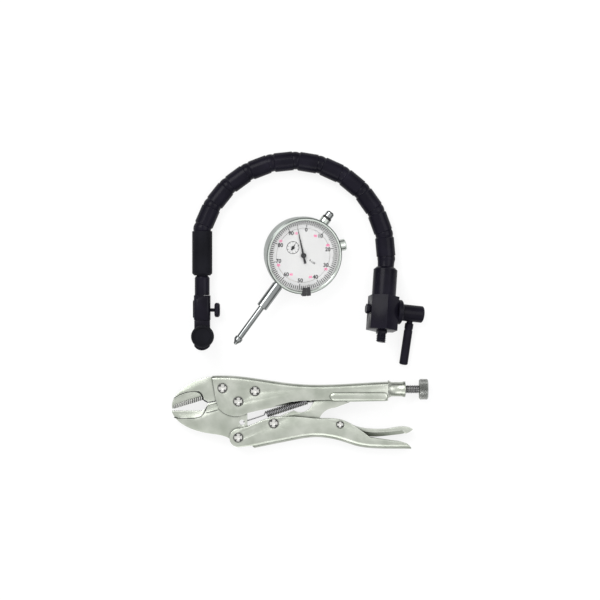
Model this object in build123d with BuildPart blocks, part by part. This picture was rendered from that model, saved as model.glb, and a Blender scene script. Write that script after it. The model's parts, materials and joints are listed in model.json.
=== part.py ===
from build123d import *
import math
import os

os.makedirs("parts", exist_ok=True)

# Clamping indicator set, laid flat on a bench: a dial indicator, a locking flexible arm and the
# locking pliers that hold the arm. X runs along the pliers, towards the adjusting screw, Y runs
# from the pliers to the arm's arch, Z is up, and the bench is at z = 0. Sizes are in millimetres.

# ---------------------------------------------------------------- driving dimensions: fits
running_gap = 0.05  # radial gap of a shaft in its bore
fixed_gap = 0.02  # radial gap of a fastener in the hole it fills
side_gap = 0.2  # between a moving plate and the cheek beside it
part_gap = 0.3  # between two curved faces that move past each other

# ---------------------------------------------------------------- driving dimensions: pliers
channel_width = 13.2  # outside width of both folded handles
sheet = 2.0  # wall of the folded handles
pliers_mid_z = 7.5  # mid-plane of the pliers above the bench
rivet_shank_r = 2.5
rivet_head_r = 3.5
rivet_head_height = 0.9
lever_rivet_shank_r = 1.6
lever_rivet_head_r = 2.7
jaw_rivets = [(-55.3, -62.8), (-32.1, -64.9)]  # fix the upper jaw in its handle
jaw_pivot = (-44.0, -72.3)  # lower jaw to upper handle
handle_pivot = (-44.0, -98.0)  # lower handle to lower jaw
toggle_pivot = (-18.8, -87.8)  # toggle link to lower handle
lever_pivot = (28.6, -88.7)  # release lever to lower handle
toggle_tip = (39.8, -65.7)  # where the toggle link bears on the screw
screw_axis_y = -63.8
screw_thread_r = 3.0
screw_head_r = 7.5
screw_head_length = 6.4
screw_head_end_x = 91.5
screw_tip_gap = 1.7  # left open at the toggle's tip, because the linkage is opened there
neck_r = 5.1  # round nose of the upper handle
neck_start_x = 62.0
neck_end_x = 75.3
tapped_socket_r = 3.55  # in the end of the screw's head, takes the arm's stud
tapped_socket_depth = 5.0
tooth_depth = 0.8
spring_coil_r = 2.3
spring_wire_r = 0.45
spring_hole = (-41.4, -87.5)
spring_hole_r = 2.0
spring_coil = [(-23.8, -81.7), (-1.0, -74.2)]  # the two ends of the coil
spring_anchor = (7.6, -71.4)
spring_anchor_r = 1.0
lever_width = 8.4  # release lever, between the lower handle's cheeks
lever_sheet = 1.2

# ---------------------------------------------------------------- driving dimensions: arm
arm_z = 7.2  # height of the arm's axis, the ferrule's radius
link_r = 6.8
link_pitch = 17.7
link_count = 11
ball_r = 6.4
cup_lip = 1.8  # how far a cup's lip stands past its ball's centre
shoulder = 2.6  # how far the barrel stops short of its own ball's centre
cable_r = 1.1
cable_bore_r = 1.8
ball_flare_r = 3.9  # mouth of the bore in each ball, so that the cable can bend there
cable_bend_r = 12.0
first_joint = (61.7, 29.6)  # ball on top of the end block
block_heading = 86.0  # direction of the block's axis, up the arm, in degrees from +X
first_bend = 9.0
link_bend = 15.15
last_bend = 23.5
block_pitch = 9.0  # the block's foot stands this many degrees off the bench
block_roll = 14.0  # the block's turn about its own axis
sleeve_r = 8.6
sleeve_start = 6.6  # from the ball's centre down the block's axis
hex_start = 27.5
hex_length = 24.4
hex_across_flats = 20.0
cam_height = 37.5  # cam shaft below the ball's centre
cam_shaft_r = 4.0
cam_boss_r = 6.0
cam_boss_length = 15.9
collar_r = 8.8
collar_thickness = 3.6
lever_rod_r = 3.1
lever_rod_length = 28.6
lever_rod_place = 20.8  # from the block's axis, along the cam shaft
lever_angle = 16.7  # of the rod, past the block's own direction, about the cam shaft
shaft_nut_r = 3.6
shaft_thread_r = 2.0
shaft_nut_length = 2.6
stud_r = 3.5  # thread, at its pitch line
stud_neck = 6.6  # square neck of the stud
stud_neck_length = 2.5
stud_length = 8.5
ferrule_r = 7.2
ferrule_length = 33.5  # from its ball's centre to its foot
swivel_r = 5.35
swivel_neck_r = 4.2  # turns in the ferrule's socket
swivel_visible = 13.9
socket_depth = 12.0
fine_width = 11.8
fine_depth = 11.0
fine_gap = 0.35  # the dark line between the swivel rod and the fine adjustment
fine_length = 17.6
tongue_thickness = 4.0
tongue_width = 6.4
tongue_length = 13.5
tilt_pin_r = 1.2
tilt_pin_offset = 3.6  # the tilt pin, left of the arm's axis
tilt_pin_drop = 1.8  # and below the dark line
thumb_shaft_r = 1.25
thumb_head_r = 5.35
thumb_head_length = 3.9
thumb_drop = 10.8  # thumbscrew below the dark line
thumb_neck = 2.9  # bare shaft between the body and the head
clamp_screw_offset = 0.6  # clamp screw's axis, right of the arm's axis
clamp_screw_drop = 29.6  # and below the dark line
clamp_bore_r = 4.05  # takes an 8 mm stem
clamp_bore_offset = 7.2  # from the clamp screw's axis
clamp_split = 0.8
clamp_screw_r = 2.5
knob_r = 8.2
knob_height = 9.0
knob_recess_r = 6.2
knob_recess = 2.2
clamp_end_length = 10.0  # from the clamp screw's axis to the rounded end

# ---------------------------------------------------------------- driving dimensions: indicator
dial_centre = (3.3, 31.0)
stem_heading = 233.8  # direction of the stem, in degrees from +X
dial_tilt = 16.5  # the dial leans this far off level, about the stem's axis
bezel_r = 27.5
bezel_height = 7.5
bezel_lip_r = 25.2
bezel_wall = 1.3
crystal_thickness = 1.2
crystal_depth = 0.6  # crystal's face below the bezel's rim
dial_depth = 4.4  # dial's face below the bezel's rim
dial_thickness = 0.5
dial_ring_in_r = 19.6
case_r = 25.9
case_wall = 1.8
case_back = 17.5  # back cover's outer face below the bezel's rim
back_cover_thickness = 1.6
lug_height = 6.8
lug_thickness = 5.0
lug_width = 12.0
lug_hole_r = 2.5
lug_hole_depth = 3.7  # from the lug's free end
stem_r = 4.0
stem_root_r = 3.6  # inside the case and under the bezel's rim
stem_root_gap = 0.5  # the full radius starts this far outside the bezel
stem_end = 47.5  # from the dial's axis
stem_depth = 11.8  # stem's axis below the bezel's rim
spindle_r = 2.2
spindle_end = 73.8
contact_collar_r = 2.9
contact_length = 6.2
contact_ball_r = 1.5
top_boss_r = 3.7
top_boss_end = 30.7
buffer_r = 3.4
buffer_thickness = 1.4
cap_r = 3.0
cap_height = 4.6
spindle_travel = 25.4
pointer_length = 21.8
pointer_tail = 6.0
counter_offset = 9.5
counter_pointer_length = 3.6
arbor_r = 0.6
drive_gear_place = (-3.2, 7.3)
drive_gear_r = 6.3
drive_pinion_r = 1.5
rack_flat = 1.6
centre_pinion_r = 1.5
counter_gear_r = 8.55
plate_thickness = 1.2
lock_screw_angle = -43.0  # from the indicator's own top, clockwise is negative
lock_screw_r = 4.2
lock_screw_head = 5.8
marker_angles = {"limit_marker_left": -53.5, "limit_marker_right": -46.5}


# ---------------------------------------------------------------- shared tools
def turn(base, outline, mode=Mode.ADD):
    """Turn a closed outline of (radius, height) points about the plane's own Z axis."""
    side = Plane(origin=base.origin, x_dir=base.x_dir, z_dir=-base.y_dir)
    with BuildSketch(side) as profile:
        with BuildLine():
            Polyline(*outline, close=True)
        make_face()
    revolve(profile.sketch, axis=Axis(base.origin, base.z_dir), mode=mode)


def shape(plane, outline, low, high, mode=Mode.ADD):
    """Extrude a closed outline of straight lines from one height to another over a plane."""
    with BuildSketch(raised(plane, low)) as profile:
        with BuildLine():
            Polyline(*outline, close=True)
        make_face()
    extrude(profile.sketch, amount=high - low, mode=mode)


def disc(plane, centre, radius, low, high, mode=Mode.ADD):
    """Extrude a circle from one height to another over a plane."""
    with BuildSketch(raised(plane, low)) as profile:
        with Locations(centre):
            Circle(radius)
    extrude(profile.sketch, amount=high - low, mode=mode)


def raised(plane, height):
    """The same plane moved along its own Z axis."""
    return Plane(origin=plane.origin + plane.z_dir * height, x_dir=plane.x_dir, z_dir=plane.z_dir)


def keep(piece, name):
    """Label a finished sub-part and write it to its own file."""
    piece.part.label = name
    export_step(piece.part, f"parts/{name}.step")


def around(centre, radius, angle):
    """A point on a circle, with its angle in degrees."""
    turned = math.radians(angle)
    return (centre[0] + radius * math.cos(turned), centre[1] + radius * math.sin(turned))


# ================================================================ locking pliers
pliers = Plane.XY.offset(pliers_mid_z)
half = channel_width / 2
inside = half - sheet
plate_half = inside - side_gap
far = 40.0  # long enough to cut right out of any piece


def serrated(start, finish, sag, count, depth):
    """Points of a row of teeth from start to finish, sagging in the middle by the given amount."""
    along = (finish[0] - start[0], finish[1] - start[1])
    length = math.hypot(*along)
    across = (-along[1] / length, along[0] / length)
    points = []
    for step in range(2 * count + 1):
        share = step / (2 * count)
        push = 4 * sag * share * (1 - share) + (depth if step % 2 else 0)
        points.append((start[0] + along[0] * share + across[0] * push,
                       start[1] + along[1] * share + across[1] * push))
    return points


def rivet(centre, shank_r=rivet_shank_r, head_r=rivet_head_r):
    """A dimpled rivet through both cheeks of a handle."""
    top = half + rivet_head_height
    edge = half + rivet_head_height / 2
    crown_r = head_r - 0.9
    dimple_r = head_r / 3
    dimple = 0.5
    axis = Plane(origin=(*centre, pliers_mid_z))
    turn(axis, [(0, dimple - top), (dimple_r, -top), (crown_r, -top), (head_r, -edge),
                (head_r, -half), (shank_r, -half), (shank_r, half),
                (head_r, half), (head_r, edge), (crown_r, top), (dimple_r, top),
                (0, top - dimple)])


def rivet_hole(centre, gap, shank_r=rivet_shank_r):
    """The hole of a rivet right through a piece."""
    disc(pliers, centre, shank_r + gap, -far, far, Mode.SUBTRACT)


# upper handle: a folded channel, open downwards, that closes to a round nose over the screw
handle_top = [(-62.7, -54.3), (-43.0, -54.7), (-20.0, -57.9), (-0.9, -60.2), (14.4, -60.7),
              (31.0, -60.2), (62.8, -58.5)]
handle_end_x = handle_top[-1][0]
tube_start_x = 46.0  # from here on the channel is closed underneath
tube_bottom_y = -71.9
fold_r = 2.8
low_fold_r = 4.0  # the lower handle's rounder fold
nose_flare = 0.5  # the nose's end stands this much prouder
screw_line = Plane(origin=(0, screw_axis_y, pliers_mid_z), x_dir=(0, 1, 0), z_dir=(1, 0, 0))

with BuildPart() as upper_handle:
    with BuildSketch(raised(pliers, -half)) as cheek:
        with BuildLine():
            Spline(*handle_top)
            Polyline(handle_top[-1], (handle_end_x, tube_bottom_y), (11.8, -73.2))
            Spline((11.8, -73.2), (-17.5, -76.4), (-37.9, -80.8))
            ThreePointArc((-37.9, -80.8), (-49.0, -82.4), (-57.9, -77.2))
            Polyline((-57.9, -77.2), (-60.2, -69.4), handle_top[0])
        make_face()
    extrude(amount=channel_width)
    fold = upper_handle.edges().filter_by(GeomType.BSPLINE).sort_by(Axis.Y)[-2:]
    fillet(fold, fold_r)
    with BuildSketch(raised(pliers, -inside)) as pocket:
        with BuildLine():
            Spline(*[(x, y - sheet) for x, y in handle_top])
            Polyline((handle_end_x, handle_top[-1][1] - sheet), (handle_end_x, tube_bottom_y + sheet),
                     (tube_start_x, tube_bottom_y + sheet), (tube_start_x, -far * 3),
                     (-far * 2, -far * 3), (-far * 2, handle_top[0][1] - sheet),
                     (handle_top[0][0], handle_top[0][1] - sheet))
        make_face()
    extrude(amount=2 * inside, mode=Mode.SUBTRACT)
    turn(screw_line, [(0, handle_end_x - sheet), (inside, handle_end_x - sheet),
                      (inside, handle_end_x), (half, handle_end_x), (neck_r, handle_end_x + 2.6),
                      (neck_r, neck_end_x - 2.4), (neck_r + nose_flare, neck_end_x - 1.6),
                      (neck_r + nose_flare, neck_end_x), (0, neck_end_x)])
    turn(screw_line, [(0, neck_start_x - far), (screw_thread_r + running_gap, neck_start_x - far),
                      (screw_thread_r + running_gap, neck_end_x + 1), (0, neck_end_x + 1)], Mode.SUBTRACT)
    disc(pliers, spring_anchor, spring_anchor_r, -inside - 1, inside + 1)
    for centre in [*jaw_rivets, jaw_pivot]:
        rivet_hole(centre, fixed_gap)
keep(upper_handle, "upper_handle")

# jaws: the upper one is riveted in the handle, the lower one turns on its pivot rivet
jaw_corner = (-69.4, -71.4)
jaw_tip = (-91.0, -77.8)
pivot_boss_r = 6.6
jaw_step = 0.6  # how far the gripping edge is set back from the jaw's sides

with BuildPart() as upper_jaw:
    with BuildSketch(raised(pliers, -inside)) as outline:
        with BuildLine():
            Polyline(*serrated(jaw_corner, jaw_tip, 0.4, 14, -tooth_depth))
            Spline(jaw_tip, (-90.5, -71.2), (-88.2, -67.6), (-84.3, -63.6), (-78.1, -59.3),
                   (-71.9, -56.5), (-63.2, -55.0))
            Polyline((-63.2, -55.0), (-62.5, -56.6), (-43.0, -57.0), (-24.0, -60.2), (-24.0, -69.0),
                     (-37.0, -71.6), (-59.6, -71.6), (-65.8, -72.8), (-67.6, -71.0), jaw_corner)
        make_face()
    extrude(amount=2 * inside)
    for low, high in [(inside - jaw_step, far), (-far, jaw_step - inside)]:
        shape(pliers, [(-93.0, -72.0), (-88.9, -70.0), (-81.2, -66.2), (-72.3, -64.9), (-69.8, -66.8),
                       (-68.3, -71.5), (-69.5, -80.0), (-93.0, -80.0)], low, high, Mode.SUBTRACT)
    disc(pliers, jaw_pivot, pivot_boss_r + 2 * part_gap, -far, far, Mode.SUBTRACT)
    for centre in jaw_rivets:
        rivet_hole(centre, fixed_gap)
keep(upper_jaw, "upper_jaw")

lower_tip = (-91.3, -78.9)
lower_corner = (-69.4, -78.9)
handle_boss_r = 5.6
with BuildPart() as lower_jaw:
    with BuildSketch(raised(pliers, -plate_half)) as outline:
        with BuildLine():
            Polyline(*serrated(lower_tip, lower_corner, 0, 16, -tooth_depth / 2))
            Polyline(lower_corner, (-67.3, -77.1), (-66.2, -74.7), (-65.0, -73.8), (-59.6, -72.5),
                     (-50.0, -72.5), (-44.0, -70.0), (-37.6, -74.0), (-37.6, -90.0), (-38.6, -97.5),
                     (-44.0, -102.0), (-49.2, -99.6))
            Spline((-49.2, -99.6), (-54.5, -97.0), (-62.1, -95.6), (-71.0, -94.0), (-80.0, -90.8),
                   (-87.6, -85.6), (-91.3, -80.2))
            Line((-91.3, -80.2), lower_tip)
        make_face()
        with Locations(jaw_pivot):
            Circle(pivot_boss_r)
        with Locations(handle_pivot):
            Circle(handle_boss_r)
    extrude(amount=2 * plate_half)
    for low, high in [(plate_half - jaw_step, far), (-far, jaw_step - plate_half)]:
        shape(pliers, [(-93.0, -84.8), (-88.9, -84.4), (-82.5, -83.8), (-77.4, -84.7), (-71.0, -83.4),
                       (-67.8, -80.2), (-66.4, -77.2), (-68.0, -75.0), (-93.0, -75.0)], low, high,
              Mode.SUBTRACT)
    for centre in [jaw_pivot, handle_pivot]:
        rivet_hole(centre, running_gap)
    disc(pliers, spring_hole, spring_hole_r, -far, far, Mode.SUBTRACT)
keep(lower_jaw, "lower_jaw")

with BuildPart() as upper_jaw_rivets:
    for centre in jaw_rivets:
        rivet(centre)
keep(upper_jaw_rivets, "upper_jaw_rivets")

with BuildPart() as jaw_pivot_rivet:
    rivet(jaw_pivot)
keep(jaw_pivot_rivet, "jaw_pivot_rivet")

# lower handle: a folded channel, open upwards; its cheeks alone reach the lower jaw
fold_start_x = -32.8
handle_foot = [(-32.8, -105.7), (-20.0, -103.1), (-7.3, -100.6), (9.3, -98.0), (20.8, -98.7),
               (31.0, -101.2), (41.2, -104.4), (50.1, -105.7), (64.0, -106.2), (79.4, -106.3)]
with BuildPart() as lower_handle:
    with BuildSketch(raised(pliers, -half)) as cheek:
        with BuildLine():
            Spline((-43.6, -91.6), (-37.9, -90.4), (-25.1, -85.3), (-14.9, -83.4), (0.4, -83.4),
                   (14.4, -84.6), (28.6, -85.4), (38.6, -89.8), (50.1, -98.0))
            Spline((50.1, -98.0), (62.8, -100.0), (79.4, -101.8))
            Line((79.4, -101.8), handle_foot[-1])
            Spline(*reversed(handle_foot))
            Polyline(handle_foot[0], (-34.1, -103.8), (-43.6, -105.0))
            ThreePointArc((-43.6, -105.0), (-50.3, -98.3), (-43.6, -91.6))
        make_face()
    extrude(amount=channel_width)
    low_fold = lower_handle.edges().filter_by(GeomType.BSPLINE).sort_by(SortBy.LENGTH)[-2:]
    fillet(low_fold, low_fold_r)
    shape(pliers, [(70.5, -100.9), (76.6, -102.6), (79.5, -105.4), (82.0, -99.0)], -far, far,
          Mode.SUBTRACT)
    with BuildSketch(raised(pliers, -inside)) as pocket:
        with BuildLine():
            Spline(*[(x, y + sheet) for x, y in handle_foot])
            Polyline((handle_foot[-1][0], handle_foot[-1][1] + sheet), (2 * far, -far * 2),
                     (-far * 2, -far * 2), (-far * 2, -far * 3), (fold_start_x, -far * 3),
                     (handle_foot[0][0], handle_foot[0][1] + sheet))
        make_face()
    extrude(amount=2 * inside, mode=Mode.SUBTRACT)
    for centre in [handle_pivot, toggle_pivot]:
        rivet_hole(centre, fixed_gap)
    rivet_hole(lever_pivot, fixed_gap, lever_rivet_shank_r)
keep(lower_handle, "lower_handle")

with BuildPart() as lower_handle_rivets:
    for centre in [handle_pivot, toggle_pivot]:
        rivet(centre)
    rivet(lever_pivot, lever_rivet_shank_r, lever_rivet_head_r)
keep(lower_handle_rivets, "lower_handle_rivets")

# toggle link: from the lower handle to the screw's tip, notched to clear the spring
toggle_nose_r = 2.4
toggle_boss_r = 4.6
with BuildPart() as toggle_link:
    with BuildSketch(raised(pliers, -plate_half)) as outline:
        with BuildLine():
            Polyline((-18.8, -83.4), (-14.5, -83.2), (-10.4, -81.3), (-4.4, -79.0))
            ThreePointArc((-4.4, -79.0), (2.0, -80.2), (8.6, -74.9))
            Polyline((8.6, -74.9), (10.8, -71.4), (20.0, -67.6), (39.2, -63.4), (41.6, -67.3),
                     (34.8, -73.2), (24.6, -77.0))
            ThreePointArc((24.6, -77.0), (16.8, -80.2), (13.8, -84.7))
            Polyline((13.8, -84.7), (13.6, -86.2), (-6.0, -91.6), (-18.8, -92.2), (-18.8, -83.4))
        make_face()
        with Locations(toggle_pivot):
            Circle(toggle_boss_r)
        with Locations(toggle_tip):
            Circle(toggle_nose_r)
    extrude(amount=2 * plate_half)
    rivet_hole(toggle_pivot, running_gap)
keep(toggle_link, "toggle_link")

# release lever: a small folded shell, open underneath, that rocks on the last rivet
lever_back = [(13.4, -88.6), (20.0, -87.4), (28.6, -86.1), (36.1, -88.6), (43.7, -91.1),
              (51.4, -92.1), (64.1, -91.7), (74.3, -90.4), (80.7, -92.3)]
lever_half = lever_width / 2
lever_window = [(38.5, -91.6), (44.5, -93.4), (51.4, -94.3), (64.1, -93.9), (73.0, -92.8)]  # upper cheek
with BuildPart() as release_lever:
    with BuildSketch(raised(pliers, -lever_half)) as outline:
        with BuildLine():
            Spline(*lever_back)
            Spline(lever_back[-1], (78.1, -94.2), (67.9, -96.5), (56.5, -97.7), (48.8, -97.4),
                   (40.0, -94.6), (30.0, -93.9))
            Polyline((30.0, -93.9), (18.0, -93.0), (13.4, -91.0), lever_back[0])
        make_face()
    extrude(amount=lever_width)
    lever_wall = lever_half - lever_sheet
    with BuildSketch(raised(pliers, -lever_wall)) as pocket:
        with BuildLine():
            Spline(*[(x, y - lever_sheet) for x, y in lever_back[1:-1]])
            Polyline((lever_back[-2][0], lever_back[-2][1] - lever_sheet), (77.0, -93.4),
                     (77.0, -far * 3), (lever_back[1][0], -far * 3),
                     (lever_back[1][0], lever_back[1][1] - lever_sheet))
        make_face()
    extrude(amount=2 * lever_wall, mode=Mode.SUBTRACT)
    with BuildSketch(pliers) as window:
        with BuildLine():
            Spline(*lever_window)
            Line(lever_window[-1], (78.0, -99.0))
            Line((78.0, -99.0), (lever_window[0][0], -99.0))
            Line((lever_window[0][0], -99.0), lever_window[0])
        make_face()
    extrude(amount=lever_half, mode=Mode.SUBTRACT)
    rivet_hole(lever_pivot, running_gap, lever_rivet_shank_r)
keep(release_lever, "release_lever")

# adjusting screw, with a tapped socket for the arm's stud in the end of its head
screw_tip_x = toggle_tip[0] + toggle_nose_r + screw_tip_gap
head_start_x = screw_head_end_x - screw_head_length
head_chamfer = 0.5
with BuildPart() as adjusting_screw:
    turn(screw_line, [(0, screw_tip_x), (screw_thread_r / 2, screw_tip_x),
                      (screw_thread_r, screw_tip_x + screw_thread_r / 2), (screw_thread_r, head_start_x),
                      (screw_head_r - head_chamfer, head_start_x),
                      (screw_head_r, head_start_x + head_chamfer),
                      (screw_head_r, screw_head_end_x - head_chamfer),
                      (screw_head_r - head_chamfer, screw_head_end_x),
                      (tapped_socket_r, screw_head_end_x),
                      (tapped_socket_r, screw_head_end_x - tapped_socket_depth),
                      (0, screw_head_end_x - tapped_socket_depth)])
keep(adjusting_screw, "adjusting_screw")

# tension spring: the outer shape of its coil, and the two straight ends of its wire
with BuildPart() as tension_spring:
    coil_start, coil_end = [Vector(*point, pliers_mid_z) for point in spring_coil]
    coil_axis = Plane(origin=coil_start, z_dir=coil_end - coil_start)
    coil_length = (coil_end - coil_start).length
    hook = Vector(*spring_hole, pliers_mid_z)
    left_run = (coil_start - hook).length - (spring_hole[0] + 42.0) - 4.4
    right_run = (Vector(*spring_anchor, pliers_mid_z) - coil_end).length - spring_anchor_r - part_gap
    turn(coil_axis, [(0, -left_run), (spring_wire_r, -left_run), (spring_wire_r, 0),
                     (spring_coil_r, 0), (spring_coil_r, coil_length), (spring_wire_r, coil_length),
                     (spring_wire_r, coil_length + right_run), (0, coil_length + right_run)])
keep(tension_spring, "tension_spring")


# ================================================================ locking flexible arm
def heading(angle):
    """The level direction at an angle in degrees from +X."""
    turned = math.radians(angle)
    return Vector(math.cos(turned), math.sin(turned), 0)


def along(origin, direction, level=(0, 0, 1)):
    """A plane whose Z axis points along a direction, with its Y axis as near upright as it goes."""
    return Plane(origin=origin, x_dir=Vector(*level).cross(direction), z_dir=direction)


ball_centres = [Vector(*first_joint, arm_z)]
link_headings = []
for step in range(link_count):
    link_headings.append(block_heading + first_bend + step * link_bend)
    ball_centres.append(ball_centres[-1] + heading(link_headings[-1]) * link_pitch)
ferrule_heading = link_headings[-1] + last_bend
cup_r = ball_r + running_gap
barrel_bevel = 0.5


def cup_and_core(mouth):
    """The outline points of a cup around a ball and of the cable's bore behind it."""
    steps = 6
    start = math.asin(mouth / cup_r)
    finish = math.acos(cable_bore_r / cup_r)
    points = []
    for step in range(steps + 1):
        angle = start + (finish - start) * step / steps
        points.append((cup_r * math.cos(angle), cup_r * math.sin(angle)))
    return points


def ball_end(centre):
    """The outline points of a ball from its neck round the far side to the cable's bore inside."""
    steps = 8
    start = -math.asin((shoulder - barrel_bevel) / ball_r)
    finish = math.acos(ball_flare_r / ball_r)
    points = []
    for step in range(steps + 1):
        angle = start + (finish - start) * step / steps
        points.append((ball_r * math.cos(angle), centre + ball_r * math.sin(angle)))
    return [*points, (cable_bore_r, centre)]


# end block: a sleeve and a hexagon in one piece, bored for the cam shaft, with a ball on top
pitch = math.radians(block_pitch)
level_axis = heading(block_heading + 180.0)
block_axis = level_axis * math.cos(pitch) + Vector(0, 0, math.sin(pitch))
level_side = Vector(-level_axis.Y, level_axis.X, 0)
raised_side = block_axis.cross(level_side)
roll = math.radians(block_roll)
cam_axis = level_side * math.cos(roll) - raised_side * math.sin(roll)
block = Plane(origin=ball_centres[0], x_dir=cam_axis, z_dir=block_axis)
cam = Plane(origin=ball_centres[0] + block_axis * cam_height, x_dir=block_axis, z_dir=cam_axis)
hex_end = hex_start + hex_length
flat = hex_across_flats / 2
cable_well = 6.0  # the wide end of the cable's bore, where its fork holds the cam shaft
sleeve_chamfer = 1.8

with BuildPart() as end_block:
    turn(block, [(r, -h) for r, h in reversed(ball_end(0))]
         + [(ball_r - 0.6, sleeve_start), (sleeve_r - sleeve_chamfer, sleeve_start),
            (sleeve_r, sleeve_start + sleeve_chamfer), (sleeve_r, hex_start), (cable_bore_r, hex_start)])
    with BuildSketch(raised(block, hex_start)) as six_sides:
        RegularPolygon(flat, 6, major_radius=False, rotation=30)
    extrude(six_sides.sketch, amount=hex_length)
    disc(block, (0, 0), cable_bore_r, -far, cam_height, Mode.SUBTRACT)
    disc(block, (0, 0), cable_well, cam_height - 6.4, cam_height + 6.4, Mode.SUBTRACT)
    disc(cam, (0, 0), cam_shaft_r + running_gap, -far, far, Mode.SUBTRACT)
keep(end_block, "end_block")

# stud: screws into the block's foot, with a square neck below its thread
with BuildPart() as mounting_stud:
    foot = raised(block, hex_end)
    with BuildSketch(foot) as neck:
        RectangleRounded(stud_neck, stud_neck, 0.6)
    extrude(neck.sketch, amount=stud_neck_length)
    turn(foot, [(0, stud_neck_length), (stud_r, stud_neck_length), (stud_r, stud_length - 0.8),
                (stud_r - 0.8, stud_length), (0, stud_length)])
keep(mounting_stud, "mounting_stud")

# cam shaft: its boss carries the locking lever; its middle is the eccentric that pulls the cable
boss_start = flat + collar_thickness
boss_end = boss_start + cam_boss_length
with BuildPart() as cam_shaft:
    turn(cam, [(0, -flat - shaft_nut_length), (shaft_thread_r, -flat - shaft_nut_length),
               (shaft_thread_r, -flat), (cam_shaft_r, -flat), (cam_shaft_r, boss_start),
               (cam_boss_r, boss_start), (cam_boss_r, boss_end - 0.6), (cam_boss_r - 0.6, boss_end),
               (0, boss_end)])
    lever_turn = math.radians(lever_angle)
    lever_direction = (block_axis * math.cos(lever_turn)
                       + cam_axis.cross(block_axis) * math.sin(lever_turn))
    lever_root = cam.origin + cam_axis * lever_rod_place
    lever = Plane(origin=lever_root, x_dir=cam_axis, z_dir=lever_direction)
    disc(lever, (0, 0), lever_rod_r - 0.9, 3.0, far, Mode.SUBTRACT)
keep(cam_shaft, "cam_shaft")

lever_end = cam_boss_r + lever_rod_length + 2.6
with BuildPart() as lever_rod:
    turn(lever, [(0, 3.0), (lever_rod_r - 0.9, 3.0), (lever_rod_r - 0.9, cam_boss_r + 1.0),
                 (lever_rod_r, cam_boss_r + 1.6), (lever_rod_r, cam_boss_r + 5.2),
                 (lever_rod_r - 0.3, cam_boss_r + 5.4), (lever_rod_r - 0.3, cam_boss_r + 6.2),
                 (lever_rod_r, cam_boss_r + 6.4), (lever_rod_r, lever_end - 0.6),
                 (lever_rod_r - 0.6, lever_end), (0, lever_end)])
keep(lever_rod, "lever_rod")

with BuildPart() as shaft_collar:
    turn(cam, [(cam_shaft_r + running_gap, flat), (collar_r - 0.5, flat), (collar_r, flat + 0.5),
               (collar_r, boss_start - 0.5 - side_gap), (collar_r - 0.5, boss_start - side_gap),
               (cam_shaft_r + running_gap, boss_start - side_gap)])
keep(shaft_collar, "shaft_collar")

with BuildPart() as shaft_nut:
    with BuildSketch(raised(cam, -flat - side_gap)) as across:
        RegularPolygon(shaft_nut_r, 6)
        Circle(shaft_thread_r + fixed_gap, mode=Mode.SUBTRACT)
    extrude(across.sketch, amount=side_gap - shaft_nut_length)
keep(shaft_nut, "shaft_nut")

# cable: runs through every ball and link, from the ferrule to a fork round the cam shaft
with BuildPart() as tension_cable:
    fork_reach = cam_height - 5.8
    start = ball_centres[0] + block_axis * fork_reach
    route = [start, *ball_centres, ball_centres[-1] + heading(ferrule_heading) * 12.0]
    with BuildLine() as path:
        FilletPolyline(*route, radius=cable_bend_r)
    with BuildSketch(Plane(origin=path.line @ 0, z_dir=path.line % 0)) as wire:
        Circle(cable_r)
    sweep(wire.sketch, path=path.line)
keep(tension_cable, "tension_cable")

# links: a cup at the foot of each, a ball at its head
for number in range(link_count):
    base = along(ball_centres[number], heading(link_headings[number]))
    barrel_top = link_pitch - shoulder
    with BuildPart() as link:
        turn(base, [(link_r, cup_lip), (link_r, barrel_top - barrel_bevel),
                    (link_r - barrel_bevel, barrel_top)]
             + ball_end(link_pitch) + list(reversed(cup_and_core(cup_lip))))
    keep(link, f"link_{number + 1:02d}")

# ferrule and the swivelling end with its fine adjustment and clamp
ferrule = along(ball_centres[-1], heading(ferrule_heading))
swivel_end = ferrule_length + swivel_visible
with BuildPart() as end_ferrule:
    socket = ferrule_length - socket_depth
    turn(ferrule, [(ferrule_r - 0.3, cup_lip), (ferrule_r, cup_lip + 0.3), (ferrule_r, ferrule_length - 1.5),
                   (ferrule_r - 1.5, ferrule_length), (swivel_neck_r + running_gap, ferrule_length),
                   (swivel_neck_r + running_gap, socket), (cable_bore_r, socket)]
         + list(reversed(cup_and_core(cup_lip))))
keep(end_ferrule, "end_ferrule")

# the swivelling end is drawn on a level plane: its Y axis points back up the arm
down = heading(ferrule_heading)
end_point = ball_centres[-1] + down * swivel_end
tip = Plane(origin=end_point, x_dir=heading(ferrule_heading + 90.0), z_dir=(0, 0, 1))
pin_place = (-tilt_pin_offset, -tilt_pin_drop)
clamp_place = (clamp_screw_offset, -clamp_screw_drop)
clamp_bore = Plane(origin=end_point + down * (clamp_screw_drop - clamp_bore_offset),
                   x_dir=(0, 0, 1), z_dir=tip.x_dir)
body_end = fine_gap + fine_length
clamp_end = clamp_screw_drop + clamp_end_length
half_width = fine_width / 2
half_depth = fine_depth / 2
tongue_left = -tilt_pin_offset - 1.8
tongue_right = tongue_left + tongue_width
slot_gap = 1.0  # room for the tongue to tilt in its slot


def clamp_half(low, high):
    """One half of the stem clamp, with a rounded end."""
    with BuildSketch(raised(tip, low)) as outline:
        with BuildLine():
            Polyline((half_width - 0.4, 3.0 - clamp_end), (half_width - 0.4, -body_end),
                     (0.4 - half_width, -body_end), (0.4 - half_width, 3.0 - clamp_end))
            ThreePointArc((0.4 - half_width, 3.0 - clamp_end), (0, -clamp_end),
                          (half_width - 0.4, 3.0 - clamp_end))
        make_face()
    extrude(outline.sketch, amount=high - low)


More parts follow.
